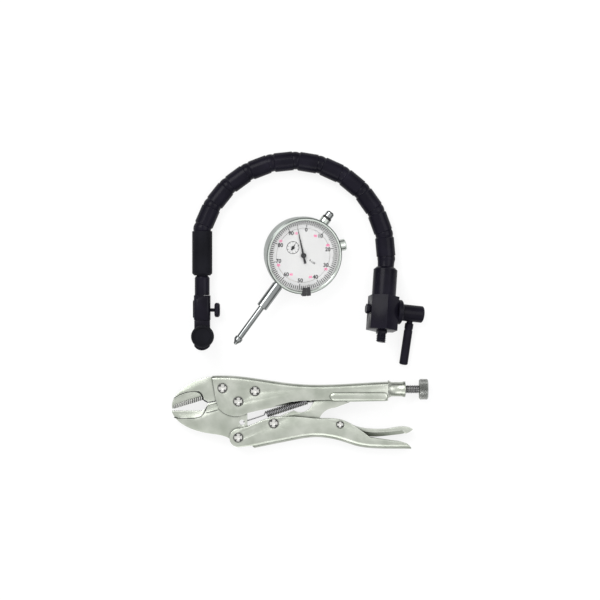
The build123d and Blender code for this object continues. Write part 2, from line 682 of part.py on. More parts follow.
with BuildPart() as swivel_rod:
    neck_start = ferrule_length - socket_depth + part_gap
    shoulder_start = ferrule_length + part_gap
    turn(ferrule, [(cable_bore_r, neck_start), (swivel_neck_r, neck_start),
                   (swivel_neck_r, shoulder_start), (swivel_r - 1.6, shoulder_start),
                   (swivel_r - 0.5, shoulder_start + 0.5), (swivel_r, shoulder_start + 1.6),
                   (swivel_r, swivel_end), (0, swivel_end), (0, swivel_end - 8.0),
                   (cable_bore_r, swivel_end - 8.0)])
    shape(tip, [(tongue_left, 0), (tongue_right, 0), (tongue_right, -tongue_length),
                (tongue_left, -tongue_length)], -tongue_thickness / 2, tongue_thickness / 2)
    disc(tip, pin_place, tilt_pin_r + running_gap, -far, far, Mode.SUBTRACT)
keep(swivel_rod, "swivel_rod")

with BuildPart() as fine_adjust_body:
    with BuildSketch(raised(along(end_point, down), fine_gap)) as section:
        RectangleRounded(fine_width, fine_depth, 3.0)
    extrude(section.sketch, amount=fine_length)
    slot_half = tongue_thickness / 2 + side_gap
    shape(tip, [(-far, far), (tongue_right + slot_gap, far),
                (tongue_right + slot_gap, -tongue_length - slot_gap), (-far, -tongue_length - slot_gap)],
          -slot_half, slot_half, Mode.SUBTRACT)
    clamp_half(-half_depth, -clamp_split / 2)
    disc(clamp_bore, (0, 0), clamp_bore_r, -far, far, Mode.SUBTRACT)
    disc(tip, pin_place, tilt_pin_r + fixed_gap, -far, far, Mode.SUBTRACT)
    disc(tip, clamp_place, clamp_screw_r + running_gap, -far, far, Mode.SUBTRACT)
    thumb = Plane(origin=end_point + down * thumb_drop, x_dir=(0, 0, 1), z_dir=tip.x_dir)
    disc(thumb, (0, 0), thumb_shaft_r + running_gap, 0, far, Mode.SUBTRACT)
keep(fine_adjust_body, "fine_adjust_body")

with BuildPart() as tilt_pin:
    disc(tip, pin_place, tilt_pin_r, -half_depth + 0.4, half_depth - 0.4)
keep(tilt_pin, "tilt_pin")

with BuildPart() as leaf_spring:
    shape(tip, [(-half_width - 0.7, -4.5), (-half_width, -3.5), (-half_width, -16.5),
                (-half_width - 0.7, -16.0)], -2.4, 2.4)
keep(leaf_spring, "leaf_spring")

with BuildPart() as fine_adjust_screw:
    head_start = half_width + thumb_neck
    head_stop = head_start + thumb_head_length
    turn(thumb, [(0, tongue_right + 0.6), (thumb_shaft_r, tongue_right + 0.6),
                 (thumb_shaft_r, head_start), (thumb_head_r - 0.8, head_start),
                 (thumb_head_r, head_start + 0.6), (thumb_head_r, head_stop - 1.0),
                 (thumb_head_r - 1.0, head_stop), (0, head_stop)])
keep(fine_adjust_screw, "fine_adjust_screw")

with BuildPart() as clamp_plate:
    clamp_half(clamp_split / 2, half_depth - 0.3)
    disc(clamp_bore, (0, 0), clamp_bore_r, -far, far, Mode.SUBTRACT)
    shape(tip, [(-far, -body_end - part_gap), (far, -body_end - part_gap), (far, far), (-far, far)],
          0, far, Mode.SUBTRACT)
    disc(tip, clamp_place, clamp_screw_r + running_gap, -far, far, Mode.SUBTRACT)
keep(clamp_plate, "clamp_plate")

with BuildPart() as clamp_knob:
    knob_start = half_depth - 0.3 + side_gap
    knob_axis = Plane(origin=tip.from_local_coords((*clamp_place, 0)), x_dir=tip.x_dir, z_dir=(0, 0, 1))
    turn(knob_axis, [(0, 0.4 - half_depth), (clamp_screw_r, 0.4 - half_depth), (clamp_screw_r, knob_start),
                     (knob_r - 0.8, knob_start), (knob_r, knob_start + 0.8),
                     (knob_r, knob_start + knob_height - 0.8), (knob_r - 0.8, knob_start + knob_height),
                     (knob_recess_r, knob_start + knob_height),
                     (knob_recess_r, knob_start + knob_height - knob_recess),
                     (0, knob_start + knob_height - knob_recess)])
keep(clamp_knob, "clamp_knob")


# ================================================================ dial indicator
tilt = math.radians(dial_tilt)
upright = Vector(0, 0, 1)
dial_up = heading(stem_heading + 180.0)
dial_right = heading(stem_heading + 90.0)
rim_drop = case_r * math.sin(tilt) + case_back * math.cos(tilt)
lug_drop = (case_back + lug_height) * math.cos(tilt) + lug_thickness / 2 * math.sin(tilt)
dial_origin = Vector(*dial_centre, max(rim_drop, lug_drop))
dial_normal = upright * math.cos(tilt) + dial_right * math.sin(tilt)
dial = Plane(origin=dial_origin, x_dir=dial_right * math.cos(tilt) - upright * math.sin(tilt),
             z_dir=dial_normal)
stem_line = Plane(origin=dial_origin - dial_normal * stem_depth, x_dir=dial.x_dir, z_dir=-dial_up)
cap_line = Plane(origin=stem_line.origin, x_dir=dial.x_dir, z_dir=dial_up)
case_in_r = case_r - case_wall
bezel_in_r = case_r + 0.1
cover_in = case_back - back_cover_thickness
case_top = 5.6
bushing_r = 3.2
lock_angle = 90.0 + lock_screw_angle
lock_depth = 12.0
lock_line = Plane(origin=dial.from_local_coords((0, 0, -lock_depth)), x_dir=dial.z_dir,
                  z_dir=Vector(dial.from_local_coords((*around((0, 0), 1.0, lock_angle), 0)))
                  - dial_origin)
lock_shaft_r = 1.2
bottom_front_plate = dial_depth + dial_thickness + plate_thickness
counter_place = (-counter_offset, 0)
hairspring_place = (-drive_gear_place[0], -drive_gear_place[1])


def hand(plane, centre, angle, length, tail, width, low, high):
    """A tapered pointer with a tail, turned to an angle about its centre."""
    tip_point = around(centre, length, angle)
    left = around(centre, width, angle + 90.0)
    right = around(centre, width, angle - 90.0)
    tail_left = around(around(centre, tail, angle + 180.0), width, angle + 90.0)
    tail_right = around(around(centre, tail, angle + 180.0), width, angle - 90.0)
    shape(plane, [tip_point, left, tail_left, tail_right, right], low, high)


with BuildPart() as indicator_case:
    turn(dial, [(case_in_r, -cover_in), (case_r, -cover_in), (case_r, -case_top), (case_in_r, -case_top)])
    disc(stem_line, (0, 0), stem_root_r + fixed_gap, 0, far, Mode.SUBTRACT)
    disc(cap_line, (0, 0), bushing_r + fixed_gap, 0, far, Mode.SUBTRACT)
    disc(lock_line, (0, 0), lock_shaft_r + running_gap, 0, far, Mode.SUBTRACT)
    for angle in [45, 135, 225, 315]:
        disc(dial, around((0, 0), case_r - case_wall / 2, angle), 0.52, -cover_in - 1, 3 - cover_in,
             Mode.SUBTRACT)
keep(indicator_case, "indicator_case")

lug_end = case_back + lug_height
with BuildPart() as back_cover:
    disc(dial, (0, 0), case_r, -case_back, -cover_in)
    lug_side = Plane(origin=dial.from_local_coords((-lug_thickness / 2, 0, 0)), x_dir=dial.y_dir,
                     z_dir=dial.x_dir)
    lug_corner = 3.0
    with BuildSketch(lug_side) as lug:
        with BuildLine():
            FilletPolyline((-lug_width / 2, -case_back), (-lug_width / 2, -lug_end),
                           (lug_width / 2, -lug_end), (lug_width / 2, -case_back), radius=lug_corner)
            Line((lug_width / 2, -case_back), (-lug_width / 2, -case_back))
        make_face()
        with Locations((0, lug_hole_depth - lug_end)):
            Circle(lug_hole_r, mode=Mode.SUBTRACT)
    extrude(lug.sketch, amount=lug_thickness)
    for angle in [45, 135, 225, 315]:
        disc(dial, around((0, 0), case_r - case_wall / 2, angle), 0.52, -case_back - 1, 1 - cover_in,
             Mode.SUBTRACT)
keep(back_cover, "back_cover")

with BuildPart() as back_cover_screws:
    for angle in [45, 135, 225, 315]:
        place = around((0, 0), case_r - case_wall / 2, angle)
        disc(dial, place, 0.5, -case_back, 2.5 - cover_in)
        disc(dial, place, 0.85, -case_back - 0.5, -case_back)
keep(back_cover_screws, "back_cover_screws")

with BuildPart() as stem:
    stem_start = bezel_r + stem_root_gap
    turn(stem_line, [(spindle_r + running_gap, case_in_r - 0.4), (stem_root_r, case_in_r - 0.4),
                     (stem_root_r, stem_start), (stem_r, stem_start),
                     (stem_r, stem_end - 0.5), (stem_r - 0.5, stem_end),
                     (spindle_r + running_gap, stem_end)])
keep(stem, "stem")

with BuildPart() as top_bushing:
    turn(cap_line, [(spindle_r + running_gap, case_in_r - 0.4), (bushing_r, case_in_r - 0.4),
                    (bushing_r, case_r + 0.6), (top_boss_r, case_r + 1.8), (top_boss_r, top_boss_end),
                    (spindle_r + running_gap, top_boss_end)])
keep(top_bushing, "top_bushing")

with BuildPart() as bezel:
    turn(dial, [(bezel_in_r, -bezel_height), (bezel_r - 0.6, -bezel_height), (bezel_r, -bezel_height + 0.6),
                (bezel_r, -0.8), (bezel_r - 0.8, 0), (bezel_lip_r + 0.6, 0),
                (bezel_lip_r, -crystal_depth), (bezel_r - bezel_wall, -crystal_depth),
                (bezel_r - bezel_wall, -crystal_depth - crystal_thickness),
                (bezel_in_r, -crystal_depth - crystal_thickness)])
keep(bezel, "bezel")

with BuildPart() as crystal:
    disc(dial, (0, 0), bezel_r - bezel_wall - fixed_gap, -crystal_depth - crystal_thickness,
         -crystal_depth)
keep(crystal, "crystal")

with BuildPart() as dial_ring:
    ring_out_r = bezel_in_r - fixed_gap
    turn(dial, [(dial_ring_in_r, -dial_depth - dial_thickness), (ring_out_r, -dial_depth - dial_thickness),
                (ring_out_r, -dial_depth), (dial_ring_in_r, -dial_depth)])
keep(dial_ring, "dial_ring")

with BuildPart() as inner_dial:
    disc(dial, (0, 0), dial_ring_in_r - side_gap, -dial_depth - dial_thickness, -dial_depth)
    for place in [(0, 0), counter_place]:
        disc(dial, place, arbor_r + part_gap, -far, far, Mode.SUBTRACT)
keep(inner_dial, "inner_dial")

pillar_r = 1.3
spring_line_x = -6.2
with BuildPart() as movement_frame:
    disc(dial, (0, 0), dial_ring_in_r - 2 * side_gap, -bottom_front_plate, -dial_depth - dial_thickness)
    disc(dial, (0, 0), case_in_r - 3 * side_gap, 0.1 - cover_in, 1.1 - cover_in)
    for place in [(-14.0, 11.5), (13.0, 12.0), (15.0, -9.0), (-13.0, -12.5)]:
        disc(dial, place, pillar_r, -cover_in + 0.6, -bottom_front_plate + 0.2)
    disc(dial, (spring_line_x, 17.6), 0.7, -cover_in + 0.6, -stem_depth + 1.0)
    for place in [(0, 0), counter_place, drive_gear_place, hairspring_place]:
        disc(dial, place, arbor_r + running_gap, -far, far, Mode.SUBTRACT)
keep(movement_frame, "movement_frame")

pointer_angle = 139.7
counter_angle = 95.0
gear_low = -8.4
gear_high = -7.4
with BuildPart() as main_pointer:
    hand(dial, (0, 0), pointer_angle, pointer_length, pointer_tail, 0.75, -3.6, -3.3)
    disc(dial, (0, 0), 1.9, -3.7, -2.6)
    disc(dial, (0, 0), arbor_r, -9.3, -3.3)
    disc(dial, (0, 0), 0.86, -7.1, -6.3)
    disc(dial, (0, 0), centre_pinion_r, gear_low - 0.3, gear_high + 0.2)
keep(main_pointer, "main_pointer")

with BuildPart() as counter_pointer:
    hand(dial, counter_place, counter_angle, counter_pointer_length, 2.0, 0.5, -4.2, -3.95)
    disc(dial, counter_place, 0.9, -4.2, -3.9)
    disc(dial, counter_place, arbor_r, -7.2, -3.95)
    disc(dial, counter_place, counter_gear_r, -7.0, -6.4)
keep(counter_pointer, "counter_pointer")

with BuildPart() as drive_gear:
    disc(dial, drive_gear_place, arbor_r, -cover_in + 0.2, -5.2)
    disc(dial, drive_gear_place, drive_gear_r, gear_low, gear_high)
    disc(dial, drive_gear_place, drive_pinion_r, -cover_in + 1.4, gear_low)
keep(drive_gear, "drive_gear")

with BuildPart() as hairspring_gear:
    disc(dial, hairspring_place, arbor_r, -cover_in + 0.2, -5.2)
    disc(dial, hairspring_place, drive_gear_r, gear_low, gear_high)
    disc(dial, hairspring_place, 1.4, gear_low - 0.5, gear_low)
keep(hairspring_gear, "hairspring_gear")

rack_low = drive_gear_place[1] - spindle_travel - 3.0
guide_pin_y = -21.2
cap_start = top_boss_end + running_gap
with BuildPart() as spindle:
    turn(cap_line, [(0, -spindle_end), (spindle_r - 0.2, -spindle_end), (spindle_r, 0.2 - spindle_end),
                    (spindle_r, cap_start + buffer_thickness), (0, cap_start + buffer_thickness)])
    flat_plane = Plane(origin=stem_line.origin, x_dir=dial.x_dir, z_dir=dial.z_dir)
    shape(flat_plane, [(-far, rack_low), (-rack_flat, rack_low), (-rack_flat, drive_gear_place[1] + 3.0),
                       (-far, drive_gear_place[1] + 3.0)], -spindle_r, spindle_r, Mode.SUBTRACT)
    guide = Plane(origin=flat_plane.from_local_coords((0, guide_pin_y, 0)), x_dir=dial.y_dir,
                  z_dir=-dial.x_dir)
    disc(guide, (0, 0), 0.7, 1.0, 7.0)
keep(spindle, "spindle")

with BuildPart() as return_spring:
    coil = Plane(origin=flat_plane.from_local_coords((spring_line_x, guide_pin_y + 0.8, 0)),
                 x_dir=dial.x_dir, z_dir=dial_up)
    disc(coil, (0, 0), 0.8, 0, 17.6 - 0.8 - guide_pin_y - 0.8)
keep(return_spring, "return_spring")

with BuildPart() as contact_point:
    contact_end = spindle_end + contact_length
    ball_centre = contact_end - contact_ball_r
    ball_tip = [around((0, ball_centre), contact_ball_r, angle) for angle in range(15, 91, 15)]
    turn(stem_line, [(0, spindle_end), (contact_collar_r - 0.4, spindle_end),
                     (contact_collar_r, spindle_end + 0.5), (contact_collar_r, spindle_end + 2.6),
                     (contact_ball_r, ball_centre), *ball_tip])
keep(contact_point, "contact_point")

with BuildPart() as buffer_ring:
    buffer_end = cap_start + buffer_thickness
    turn(cap_line, [(spindle_r + fixed_gap, cap_start), (buffer_r, cap_start), (buffer_r, buffer_end),
                    (spindle_r + fixed_gap, buffer_end)])
keep(buffer_ring, "buffer_ring")

with BuildPart() as lifting_cap:
    cap_low = cap_start + buffer_thickness
    cap_high = cap_low + cap_height
    turn(cap_line, [(0, cap_low), (cap_r - 0.3, cap_low), (cap_r, cap_low + 0.4), (cap_r, cap_high - 1.0),
                    (cap_r - 1.0, cap_high), (0, cap_high)])
keep(lifting_cap, "lifting_cap")

with BuildPart() as bezel_lock_screw:
    head_low = bezel_r - 0.1
    head_high = head_low + lock_screw_head
    turn(lock_line, [(0, case_in_r + 0.2), (lock_shaft_r, case_in_r + 0.2), (lock_shaft_r, head_low),
                     (lock_screw_r - 0.4, head_low), (lock_screw_r, head_low + 0.4),
                     (lock_screw_r, head_high - 0.6), (lock_screw_r - 0.6, head_high), (0, head_high)])
keep(bezel_lock_screw, "bezel_lock_screw")

# limit markers: small clips over the bezel's rim, each a strip and a skirt outside the rim
marker_width = 2.8
marker_in_r = 22.4
marker_out_r = bezel_r + part_gap
for marker_name, angle in marker_angles.items():
    facing = Plane(origin=dial_origin, x_dir=Vector(dial.from_local_coords((*around((0, 0), 1.0, angle), 0)))
                   - dial_origin, z_dir=dial_normal)
    with BuildPart() as marker:
        shape(facing, [(marker_in_r, -marker_width / 2 + 0.5), (marker_in_r + 0.5, -marker_width / 2),
                       (marker_out_r + 0.8, -marker_width / 2), (marker_out_r + 0.8, marker_width / 2),
                       (marker_in_r + 0.5, marker_width / 2), (marker_in_r, marker_width / 2 - 0.5)],
              0.1, 0.9)
        shape(facing, [(marker_out_r, -marker_width / 2), (marker_out_r + 0.8, -marker_width / 2),
                       (marker_out_r + 0.8, marker_width / 2), (marker_out_r, marker_width / 2)], -4.0, 0.1)
    keep(marker, marker_name)
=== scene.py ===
"""The looks of a clamping dial indicator set, laid flat on a bench.

The set is a dial indicator, a segmented locking arm and the locking pliers that carry the arm.
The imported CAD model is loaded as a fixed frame. Each sub-assembly is a class that dresses its
CAD nodes and adds what they lack: rounded edges, threads, knurls, a wound spring and the dial's
print. Lengths in the classes are in millimetres, and the meshes are in metres.
"""

from __future__ import annotations

import json
import logging
import math
from contextlib import contextmanager
from dataclasses import dataclass, field, replace
from enum import Enum
from typing import Iterable, Iterator, Sequence

import bpy
from mathutils import Matrix, Quaternion, Vector

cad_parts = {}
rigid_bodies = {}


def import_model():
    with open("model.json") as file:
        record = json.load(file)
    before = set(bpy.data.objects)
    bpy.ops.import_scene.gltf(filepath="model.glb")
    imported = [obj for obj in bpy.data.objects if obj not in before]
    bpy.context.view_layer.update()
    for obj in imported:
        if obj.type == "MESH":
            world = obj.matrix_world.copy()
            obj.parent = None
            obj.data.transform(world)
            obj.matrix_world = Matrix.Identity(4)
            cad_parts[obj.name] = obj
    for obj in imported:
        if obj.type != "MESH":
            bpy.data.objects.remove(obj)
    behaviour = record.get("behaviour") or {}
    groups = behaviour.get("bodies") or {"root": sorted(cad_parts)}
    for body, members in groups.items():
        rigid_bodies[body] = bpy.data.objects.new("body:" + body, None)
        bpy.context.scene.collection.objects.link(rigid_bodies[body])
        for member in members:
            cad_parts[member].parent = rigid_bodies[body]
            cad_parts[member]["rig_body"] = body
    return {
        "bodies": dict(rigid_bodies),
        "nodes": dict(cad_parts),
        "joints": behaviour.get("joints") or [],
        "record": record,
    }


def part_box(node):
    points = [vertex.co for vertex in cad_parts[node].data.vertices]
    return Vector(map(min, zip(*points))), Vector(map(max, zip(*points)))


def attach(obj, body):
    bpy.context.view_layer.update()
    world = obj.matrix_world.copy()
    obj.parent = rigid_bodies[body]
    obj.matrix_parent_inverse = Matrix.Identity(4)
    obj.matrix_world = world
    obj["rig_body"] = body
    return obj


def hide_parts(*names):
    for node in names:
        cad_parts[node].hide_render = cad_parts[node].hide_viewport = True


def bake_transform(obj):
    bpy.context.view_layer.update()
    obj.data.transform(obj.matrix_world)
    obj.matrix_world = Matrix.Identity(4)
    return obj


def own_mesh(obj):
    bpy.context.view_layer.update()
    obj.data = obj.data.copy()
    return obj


LOG = logging.getLogger("clamping_indicator_set")
MM = 0.001

METRES = Matrix.Scale(MM, 4)
UPWARD = Vector((0.0, 0.0, 1.0))
MERGE = 0.002  # points nearer than this many millimetres are one

Colour = tuple[float, float, float]
Point = tuple[float, float]
Outline = Sequence[Point]
Piece = bpy.types.Object
Tree = bpy.types.NodeTree
Socket = bpy.types.NodeSocket


# ---------------------------------------------------------------- shader nodes
def added(tree: Tree, kind: str, output: str, inputs: dict[str | int, object] | None = None,
          operation: str = "") -> Socket:
    """Add a shader node.

    Args:
        tree: The nodes that it goes into.
        kind: Its type.
        output: The name of the output that is wanted.
        inputs: A socket to link, or a value to set, for each input's name or number.
        operation: What it does, on a node that has a choice.

    Returns:
        The output.
    """
    made = tree.nodes.new(kind)
    if operation:
        made.operation = operation
    for key, value in (inputs or {}).items():
        if isinstance(value, Socket):
            tree.links.new(value, made.inputs[key])
        else:
            made.inputs[key].default_value = value
    return made.outputs[output]


def ramp(tree: Tree, share: Socket, first: tuple[float, Colour],
         second: tuple[float, Colour]) -> Socket:
    """Go from one colour to another.

    Args:
        tree: The nodes that it goes into.
        share: What it follows, from 0 to 1.
        first: Where the first colour ends, and that colour.
        second: Where the second colour starts, and that colour.

    Returns:
        The colour.
    """
    made = tree.nodes.new("ShaderNodeValToRGB")
    for element, (position, colour) in zip(made.color_ramp.elements, (first, second)):
        element.position = position
        element.color = (*colour, 1.0)
    tree.links.new(share, made.inputs["Fac"])
    return made.outputs["Color"]


# ---------------------------------------------------------------- finishes
class Grain(Enum):
    """The fine relief of a surface."""

    TUMBLED = "tumbled"  # soft dents of plated, tumbled steel
    BRUSHED = "brushed"  # fine lines along X
    PEENED = "peened"  # the pinpoint texture of black oxide over blasted steel
    SMOOTH = "smooth"  # almost none, as on paint and ground steel


GRAIN_SCALE: dict[Grain, tuple[float, float, float]] = {
    Grain.TUMBLED: (260.0, 260.0, 260.0),
    Grain.BRUSHED: (120.0, 3200.0, 3200.0),
    Grain.PEENED: (2600.0, 2600.0, 2600.0),
    Grain.SMOOTH: (900.0, 900.0, 900.0),
}


@dataclass(frozen=True)
class Finish:
    """How one kind of surface looks.

    Attributes:
        name: The material's name.
        slot: The record's material slot for pieces with this finish; not used.
        colour: Its main colour, linear.
        second: The colour that it wanders to in soft patches.
        metallic: 1 for bare or plated metal.
        roughness: Its middle roughness.
        wander: How far the roughness goes up and down.
        patch_scale: Patches per metre.
        grain: Its fine relief.
        bump: Depth of that relief, in millimetres.
        edge: The colour that worn edges take, or None.
        edge_radius: How far in from an edge the wear shows, in millimetres.
        specular: Strength of the gloss on a finish that isn't metal, or None for the usual.
        crevice_shade: How much painted shade darkens its narrow places, from 0 to 1.
        crevice_shade_reach: How wide a place still counts as narrow for that painted shade, in
            millimetres.
    """

    name: str
    slot: str
    colour: Colour
    second: Colour
    metallic: float = 1.0
    roughness: float = 0.35
    wander: float = 0.06
    patch_scale: float = 70.0
    grain: Grain = Grain.TUMBLED
    bump: float = 0.01
    # edge: The lighter colour that edges take, partly as wear and partly as painted highlight, or None.
    # edge_radius: How far in from an edge the wear and painted highlight show, in millimetres.
    edge: Colour | None = None
    edge_radius: float = 0.35
    specular: float | None = None
    crevice_shade: float = 0.0
    crevice_shade_reach: float = 1.6

    def material(self) -> bpy.types.Material:
        """Make this finish's material, or find it where it is already made.

        Returns:
            The material.
        """
        known = bpy.data.materials.get(self.name)
        if known:
            return known
        made = bpy.data.materials.new(self.name)
        made.use_nodes = True
        tree = made.node_tree
        shader = tree.nodes["Principled BSDF"]
        shader.inputs["Metallic"].default_value = self.metallic
        if self.specular is not None:
            shader.inputs["Specular IOR Level"].default_value = self.specular
        place = added(tree, "ShaderNodeTexCoord", "Object")
        patches = self._noise(tree, place, (self.patch_scale,) * 3, 4.0)
        colour = ramp(tree, patches, (0.35, self.colour), (0.68, self.second))
        # Lighter edges: partly wear, partly painted highlight.
        if self.edge:
            colour = self._worn_and_glinting_edges(tree, colour)
        # Narrow places are darkened from ambient occlusion: painted shade.
        if self.crevice_shade:
            colour = self._shaded_crevices(tree, colour)
        tree.links.new(colour, shader.inputs["Base Color"])
        rough = added(tree, "ShaderNodeMapRange", "Result", {
            "Value": patches, "To Min": self.roughness - self.wander,
            "To Max": self.roughness + self.wander})
        tree.links.new(rough, shader.inputs["Roughness"])
        relief = added(tree, "ShaderNodeBump", "Normal", {
            "Height": self._noise(tree, place, GRAIN_SCALE[self.grain], 3.0),
            "Distance": self.bump * MM})
        tree.links.new(relief, shader.inputs["Normal"])
        self.extra(shader)
        return made

    def extra(self, shader: bpy.types.ShaderNode) -> None:
        """Set what only some finishes have.

        Args:
            shader: The finish's shader.
        """

    @staticmethod
    def _noise(tree: Tree, place: Socket, scale: Sequence[float], detail: float) -> Socket:
        """Add stretched noise.

        Args:
            tree: The material's nodes.
            place: The coordinates that it reads.
            scale: Its size along each axis, per metre.
            detail: How many finer layers it has.

        Returns:
            The noise, from 0 to 1.
        """
        stretched = added(tree, "ShaderNodeMapping", "Vector",
                          {"Vector": place, "Scale": tuple(scale)})
        return added(tree, "ShaderNodeTexNoise", "Fac",
                     {"Vector": stretched, "Scale": 1.0, "Detail": detail})

    def _worn_and_glinting_edges(self, tree: Tree, colour: Socket) -> Socket:
        """Lighten the edges, where handling has worn the finish and where a painted highlight stands for
        the light that they catch.

        Args:
            tree: The material's nodes.
            colour: The colour away from the edges.

        Returns:
            The colour with its edges.
        """
        rounded = added(tree, "ShaderNodeBevel", "Normal", {"Radius": self.edge_radius * MM})
        flat = added(tree, "ShaderNodeNewGeometry", "Normal")
        turned = added(tree, "ShaderNodeVectorMath", "Value", {0: rounded, 1: flat}, "DOT_PRODUCT")
        share = added(tree, "ShaderNodeMapRange", "Result",
                      {"Value": turned, "From Min": 0.995, "From Max": 0.86})
        mix = tree.nodes.new("ShaderNodeMix")
        mix.data_type = "RGBA"
        tree.links.new(share, mix.inputs["Factor"])
        tree.links.new(colour, mix.inputs["A"])
        mix.inputs["B"].default_value = (*self.edge, 1.0)
        return mix.outputs["Result"]

    def _shaded_crevices(self, tree: Tree, colour: Socket) -> Socket:
        """Darken the narrow places with painted shade, read from ambient occlusion.

        Args:
            tree: The material's nodes.
            colour: The colour in the open.

        Returns:
            The colour with painted shade in its crevices.
        """
        sky = tree.nodes.new("ShaderNodeAmbientOcclusion")
        sky.samples = 12
        sky.inputs["Distance"].default_value = self.crevice_shade_reach * MM
        share = added(tree, "ShaderNodeMapRange", "Result", {
            "Value": sky.outputs["AO"], "From Min": 0.35, "From Max": 0.85,
            "To Min": 1.0 - self.crevice_shade})
        return added(tree, "ShaderNodeVectorMath", "Vector", {0: colour, "Scale": share}, "SCALE")


@dataclass(frozen=True)
class ClearFinish(Finish):
    """A clear crystal, which shows its gloss at a slant and the dial through its face."""

    alpha: float = 0.02
    ior: float = 1.45

    def extra(self, shader: bpy.types.ShaderNode) -> None:
        """Let the face be seen through, less so at a slant, and not veil it from inside.

        Args:
            shader: The finish's shader.
        """
        tree = shader.id_data
        facing = added(tree, "ShaderNodeFresnel", "Fac", {"IOR": self.ior})
        veil = added(tree, "ShaderNodeMapRange", "Result", {"Value": facing, "To Min": self.alpha})
        inside = added(tree, "ShaderNodeNewGeometry", "Backfacing")
        outside = added(tree, "ShaderNodeMath", "Value", {0: 1.0, 1: inside}, "SUBTRACT")
        seen = added(tree, "ShaderNodeMath", "Value", {0: veil, 1: outside}, "MULTIPLY")
        tree.links.new(seen, shader.inputs["Alpha"])


NICKEL = Finish("satin_nickel", "nickel_steel", (0.34, 0.365, 0.315), (0.47, 0.49, 0.44),
                roughness=0.33, bump=0.02, edge=(0.74, 0.76, 0.71), crevice_shade=0.95,
                crevice_shade_reach=2.2)
# Near-black nickel: painted shade, laid in the handle's channel and along the jaws' steps.
NICKEL_PAINTED_SHADE = Finish("nickel_in_shade", "nickel_steel", (0.02, 0.021, 0.022), (0.05, 0.05, 0.05),
                       roughness=0.45)
RIVET = Finish("rivet_steel", "rivet_steel", (0.30, 0.31, 0.28), (0.45, 0.46, 0.42),
               roughness=0.3, edge=(0.75, 0.76, 0.73), crevice_shade=0.8, crevice_shade_reach=0.8)
# Near-black: painted shade in the rivets' grooves and punch dents.
RIVET_DENT_SHADE = Finish("rivet_punch_marks", "rivet_steel", (0.035, 0.035, 0.035), (0.10, 0.10, 0.10),
                    roughness=0.5)
TEETH = Finish("hardened_teeth", "screw_steel", (0.34, 0.35, 0.33), (0.5, 0.5, 0.48),
               roughness=0.42, edge=(0.7, 0.7, 0.68), edge_radius=0.15)
# Near-black: painted shade in the grooves between the teeth.
TEETH_GROOVE_SHADE = Finish("teeth_painted_groove_shade", "screw_steel", (0.02, 0.02, 0.02), (0.04, 0.04, 0.04),
                    roughness=0.5)
SCREW = Finish("dark_screw_steel", "screw_steel", (0.13, 0.13, 0.135), (0.22, 0.22, 0.22),
               roughness=0.3, edge=(0.5, 0.5, 0.5), edge_radius=0.15, crevice_shade=0.95,
               crevice_shade_reach=0.9)
SCREW_HEAD = Finish("knurled_steel", "screw_steel", (0.18, 0.19, 0.18), (0.32, 0.33, 0.31),
                    roughness=0.38, edge=(0.55, 0.55, 0.53), edge_radius=0.2, crevice_shade=0.8,
                    crevice_shade_reach=0.9)
# The nickel without its painted crevice shade, for the raised bulge.
NICKEL_RAISED = replace(NICKEL, name="satin_nickel_raised", crevice_shade=0.0)
SPRING = Finish("spring_wire", "spring_steel", (0.26, 0.26, 0.27), (0.38, 0.38, 0.39),
                roughness=0.3, grain=Grain.SMOOTH, bump=0.003, crevice_shade=0.97, crevice_shade_reach=1.2)
BLACK = Finish("black_oxide", "black_steel", (0.005, 0.0045, 0.008), (0.009, 0.008, 0.014),
               metallic=0.0, roughness=0.25, grain=Grain.PEENED, bump=0.004, specular=0.07,
               edge=(0.022, 0.021, 0.03), edge_radius=0.3)
BLACK_MATT = Finish("black_oxide_matt", "black_knurled", (0.005, 0.005, 0.007),
                    (0.008, 0.008, 0.011), metallic=0.0, roughness=0.5, grain=Grain.PEENED,
                    bump=0.012, specular=0.05, edge=(0.018, 0.018, 0.021), edge_radius=0.25)
CABLE = Finish("stranded_cable", "spring_steel", (0.16, 0.16, 0.16), (0.28, 0.28, 0.28),
               roughness=0.35)
CASE = Finish("satin_chrome", "case_chrome", (0.46, 0.50, 0.46), (0.56, 0.60, 0.56),
              roughness=0.24, grain=Grain.BRUSHED, bump=0.003, edge=(0.8, 0.82, 0.8))
# A darker copy of the satin chrome: painted shade on the case's sides.
CASE_SIDE_SHADE = Finish("satin_chrome_painted_side_shade", "case_chrome", (0.20, 0.225, 0.21), (0.30, 0.33, 0.31),
               roughness=0.3, grain=Grain.BRUSHED, bump=0.003, edge=(0.5, 0.52, 0.5))
POLISHED = Finish("ground_steel", "polished_steel", (0.238, 0.251, 0.251), (0.330, 0.343, 0.343),
                  roughness=0.1, wander=0.03, grain=Grain.SMOOTH, bump=0.002)
PAPER = Finish("printed_dial", "dial_white", (0.60, 0.60, 0.60), (0.63, 0.63, 0.625),
               metallic=0.0, roughness=0.45, grain=Grain.SMOOTH, bump=0.002)
INK = Finish("black_ink", "pointer_black", (0.012, 0.012, 0.014), (0.022, 0.022, 0.024),
             metallic=0.0, roughness=0.45, grain=Grain.SMOOTH, bump=0.002)
PINK_INK = Finish("pink_ink", "dial_white", (0.82, 0.08, 0.30), (0.88, 0.14, 0.36),
                  metallic=0.0, roughness=0.45, grain=Grain.SMOOTH, bump=0.002)
POINTER = Finish("pointer_black_paint", "pointer_black", (0.010, 0.010, 0.012),
                 (0.016, 0.016, 0.018), metallic=0.0, roughness=0.35, grain=Grain.SMOOTH)
CRYSTAL = ClearFinish("clear_crystal", "crystal", (0.02, 0.02, 0.02), (0.03, 0.03, 0.03),
                      metallic=0.0, roughness=0.05, wander=0.02, grain=Grain.SMOOTH,
                      bump=0.0005, specular=0.3)
BRASS = Finish("turned_brass", "brass", (0.60, 0.44, 0.17), (0.70, 0.54, 0.24), roughness=0.28,
               grain=Grain.BRUSHED, bump=0.004, edge=(0.85, 0.7, 0.4))
RUBBER = Finish("moulded_rubber", "black_rubber", (0.012, 0.012, 0.012), (0.02, 0.02, 0.02),
                metallic=0.0, roughness=0.6, grain=Grain.PEENED)


